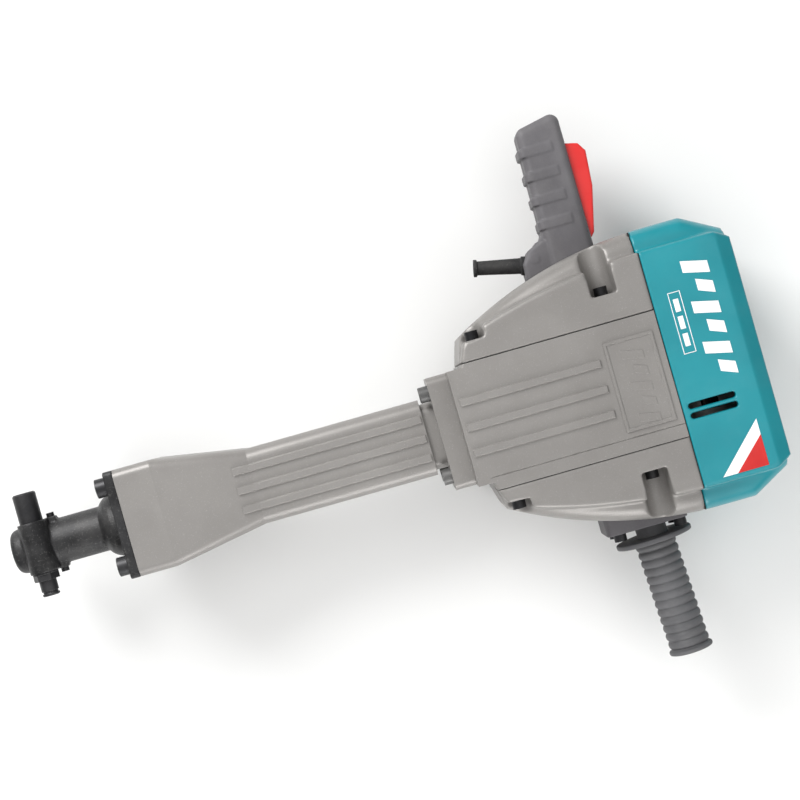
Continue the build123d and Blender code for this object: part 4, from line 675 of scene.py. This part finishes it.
for name, spring in springs.items():
    addSpring(name, spring)


# printed and embossed marks

printWhite = makeFinish("printWhitePaint", finishLike(
    dark=srgb(232, 234, 234), light=srgb(246, 247, 247), fine=2600.0, coarse=30.0, pitting=0.1,
    wear=0.05, worn=srgb(250, 250, 250), dust=0.02, speckle=(0.7, 0.9, 0.05),
    rough=(0.3, 0.38, 0.05), metallic=0.0, bump=(0.08, 0.0001), round=0.0002))
printRed = makeFinish("printRedPaint", finishLike(
    dark=srgb(190, 30, 28), light=srgb(204, 38, 34), fine=2600.0, coarse=30.0, pitting=0.1,
    wear=0.05, worn=srgb(230, 90, 80), dust=0.02, speckle=(0.7, 0.9, 0.05),
    rough=(0.3, 0.38, 0.05), metallic=0.0, bump=(0.08, 0.0001), round=0.0002))


def selectWhere(piece, test):
    # vertices picked by place, in edit mode
    bpy.ops.mesh.select_all(action="DESELECT")
    bpy.ops.object.mode_set(mode="OBJECT")
    for vertex in piece.data.vertices:
        vertex.select = test(vertex.co)
    bpy.ops.object.mode_set(mode="EDIT")


def addPlane(name, centre, size):
    bpy.ops.object.select_all(action="DESELECT")
    bpy.ops.mesh.primitive_plane_add(size=1, location=centre)
    plane = bpy.context.object
    plane.name = name
    plane.scale = (size[0], size[1], 1)
    bpy.ops.object.transform_apply(location=True, rotation=True, scale=True)
    return plane


def addBar(name, centre, size, slant, thick):
    # A flat bar on a face looking up, leaning along Y towards +X, with eased edges
    bar = addPlane(name, centre, size)
    startEdit(bar)
    bpy.ops.mesh.select_mode(type="VERT")
    selectWhere(bar, lambda point: point.x > centre[0])
    bpy.ops.transform.translate(value=(0, slant, 0))
    bpy.ops.mesh.select_all(action="SELECT")
    bpy.ops.mesh.extrude_region_move(TRANSFORM_OT_translate={"value": (0, 0, thick)})
    bpy.ops.mesh.select_all(action="SELECT")
    bpy.ops.mesh.normals_make_consistent(inside=False)
    bpy.ops.mesh.bevel(offset=thick * 0.3, segments=2)
    endEdit()
    return bar


def addFrame(name, centre, size, width, thick):
    # A flat outline: inset the plane and take its middle out
    ring = addPlane(name, centre, size)
    startEdit(ring)
    bpy.ops.mesh.select_mode(type="FACE")
    bpy.ops.mesh.select_all(action="SELECT")
    bpy.ops.mesh.inset(thickness=width)
    bpy.ops.mesh.delete(type="FACE")
    bpy.ops.mesh.select_all(action="SELECT")
    bpy.ops.mesh.extrude_region_move(TRANSFORM_OT_translate={"value": (0, 0, thick)})
    bpy.ops.mesh.select_all(action="SELECT")
    bpy.ops.mesh.normals_make_consistent(inside=False)
    endEdit()
    return ring


def addCorner(name, corner, size, low, thick):
    # A right-angled corner patch: a plane with one corner taken off
    centre = (corner[0] - size[0] / 2, corner[1] + size[1] / 2, low)
    patch = addPlane(name, centre, size)
    startEdit(patch)
    bpy.ops.mesh.select_mode(type="VERT")
    selectWhere(patch, lambda point: point.x < centre[0] and point.y > centre[1])
    bpy.ops.mesh.delete(type="VERT")
    bpy.ops.mesh.select_all(action="SELECT")
    bpy.ops.mesh.edge_face_add()
    bpy.ops.mesh.extrude_region_move(TRANSFORM_OT_translate={"value": (0, 0, thick)})
    bpy.ops.mesh.select_all(action="SELECT")
    bpy.ops.mesh.normals_make_consistent(inside=False)
    endEdit()
    return patch


def dressMark(piece, paint):
    piece.data.materials.clear()
    piece.data.materials.append(paint)
    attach(piece, "hammer_frame")


def joinPieces(name, parts):
    bpy.ops.object.select_all(action="DESELECT")
    for part in parts:
        part.select_set(True)
    bpy.context.view_layer.objects.active = parts[0]
    bpy.ops.object.join()
    bpy.context.object.name = name
    return bpy.context.object


markLook = {
    "faceHeight": 0.0961, "thick": 0.00025,
    "barX": 0.7212, "barLength": 0.0255, "barWidth": 0.0115, "slant": -0.006,
    "barYs": [0.0925, 0.0725, 0.0525, 0.0325, 0.0125, -0.0075], "shortShare": 0.62,
    "frameCentre": (0.6947, 0.0415), "frameSize": (0.0122, 0.0605), "frameLine": 0.0007,
    "dashSize": (0.0052, 0.0125), "dashYs": [0.0585, 0.0415, 0.0245],
    "corner": (0.7381, -0.1118), "cornerSize": (0.0455, 0.0458), "redSize": (0.031, 0.0303),
}


def addStripes(name, look, height):
    # A column of slanted bars; every second one is shorter and keeps its far end in line
    bars = []
    for index, y in enumerate(look["barYs"]):
        length = look["barLength"]
        shift = 0.0
        if index % 2:
            shift = length * (1 - look["shortShare"]) / 2
            length *= look["shortShare"]
        place = (look["barX"] + shift, y, height)
        bars.append(addBar(name, place, (length, look["barWidth"]), look["slant"], look["thick"]))
    return bars


def addCoverMarks():
    high = markLook["faceHeight"]
    thick = markLook["thick"]
    bars = addStripes("coverBar", markLook, high)
    dressMark(joinPieces("coverStripes", bars), printWhite)
    place = (markLook["frameCentre"][0], markLook["frameCentre"][1], high)
    parts = [addFrame("coverFrame", place, markLook["frameSize"], markLook["frameLine"], thick)]
    for y in markLook["dashYs"]:
        spot = (markLook["frameCentre"][0], y, high)
        parts.append(addBar("coverDash", spot, markLook["dashSize"], 0.0, thick))
    dressMark(joinPieces("coverLabelFrame", parts), printWhite)
    white = addCorner("coverCornerWhite", markLook["corner"], markLook["cornerSize"], high, thick)
    dressMark(white, printWhite)
    red = addCorner("coverCornerRed", markLook["corner"], markLook["redSize"], high + thick / 2, thick)
    dressMark(red, printRed)


plateLook = {
    "sunk": 0.0012, "thick": 0.0008,
    "barX": 0.6412, "barLength": 0.021, "barWidth": 0.0085, "slant": -0.0045,
    "barYs": [0.027, 0.0115, -0.004, -0.0195, -0.035], "shortShare": 0.62,
}


def addPlateMarks():
    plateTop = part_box("nameplate")[1][2]
    bars = addStripes("plateBar", plateLook, plateTop - plateLook["sunk"])
    dressMark(joinPieces("plateStripes", bars), paints["painted_casting"])


addCoverMarks()
addPlateMarks()
print("marks are on the cover and the plate")
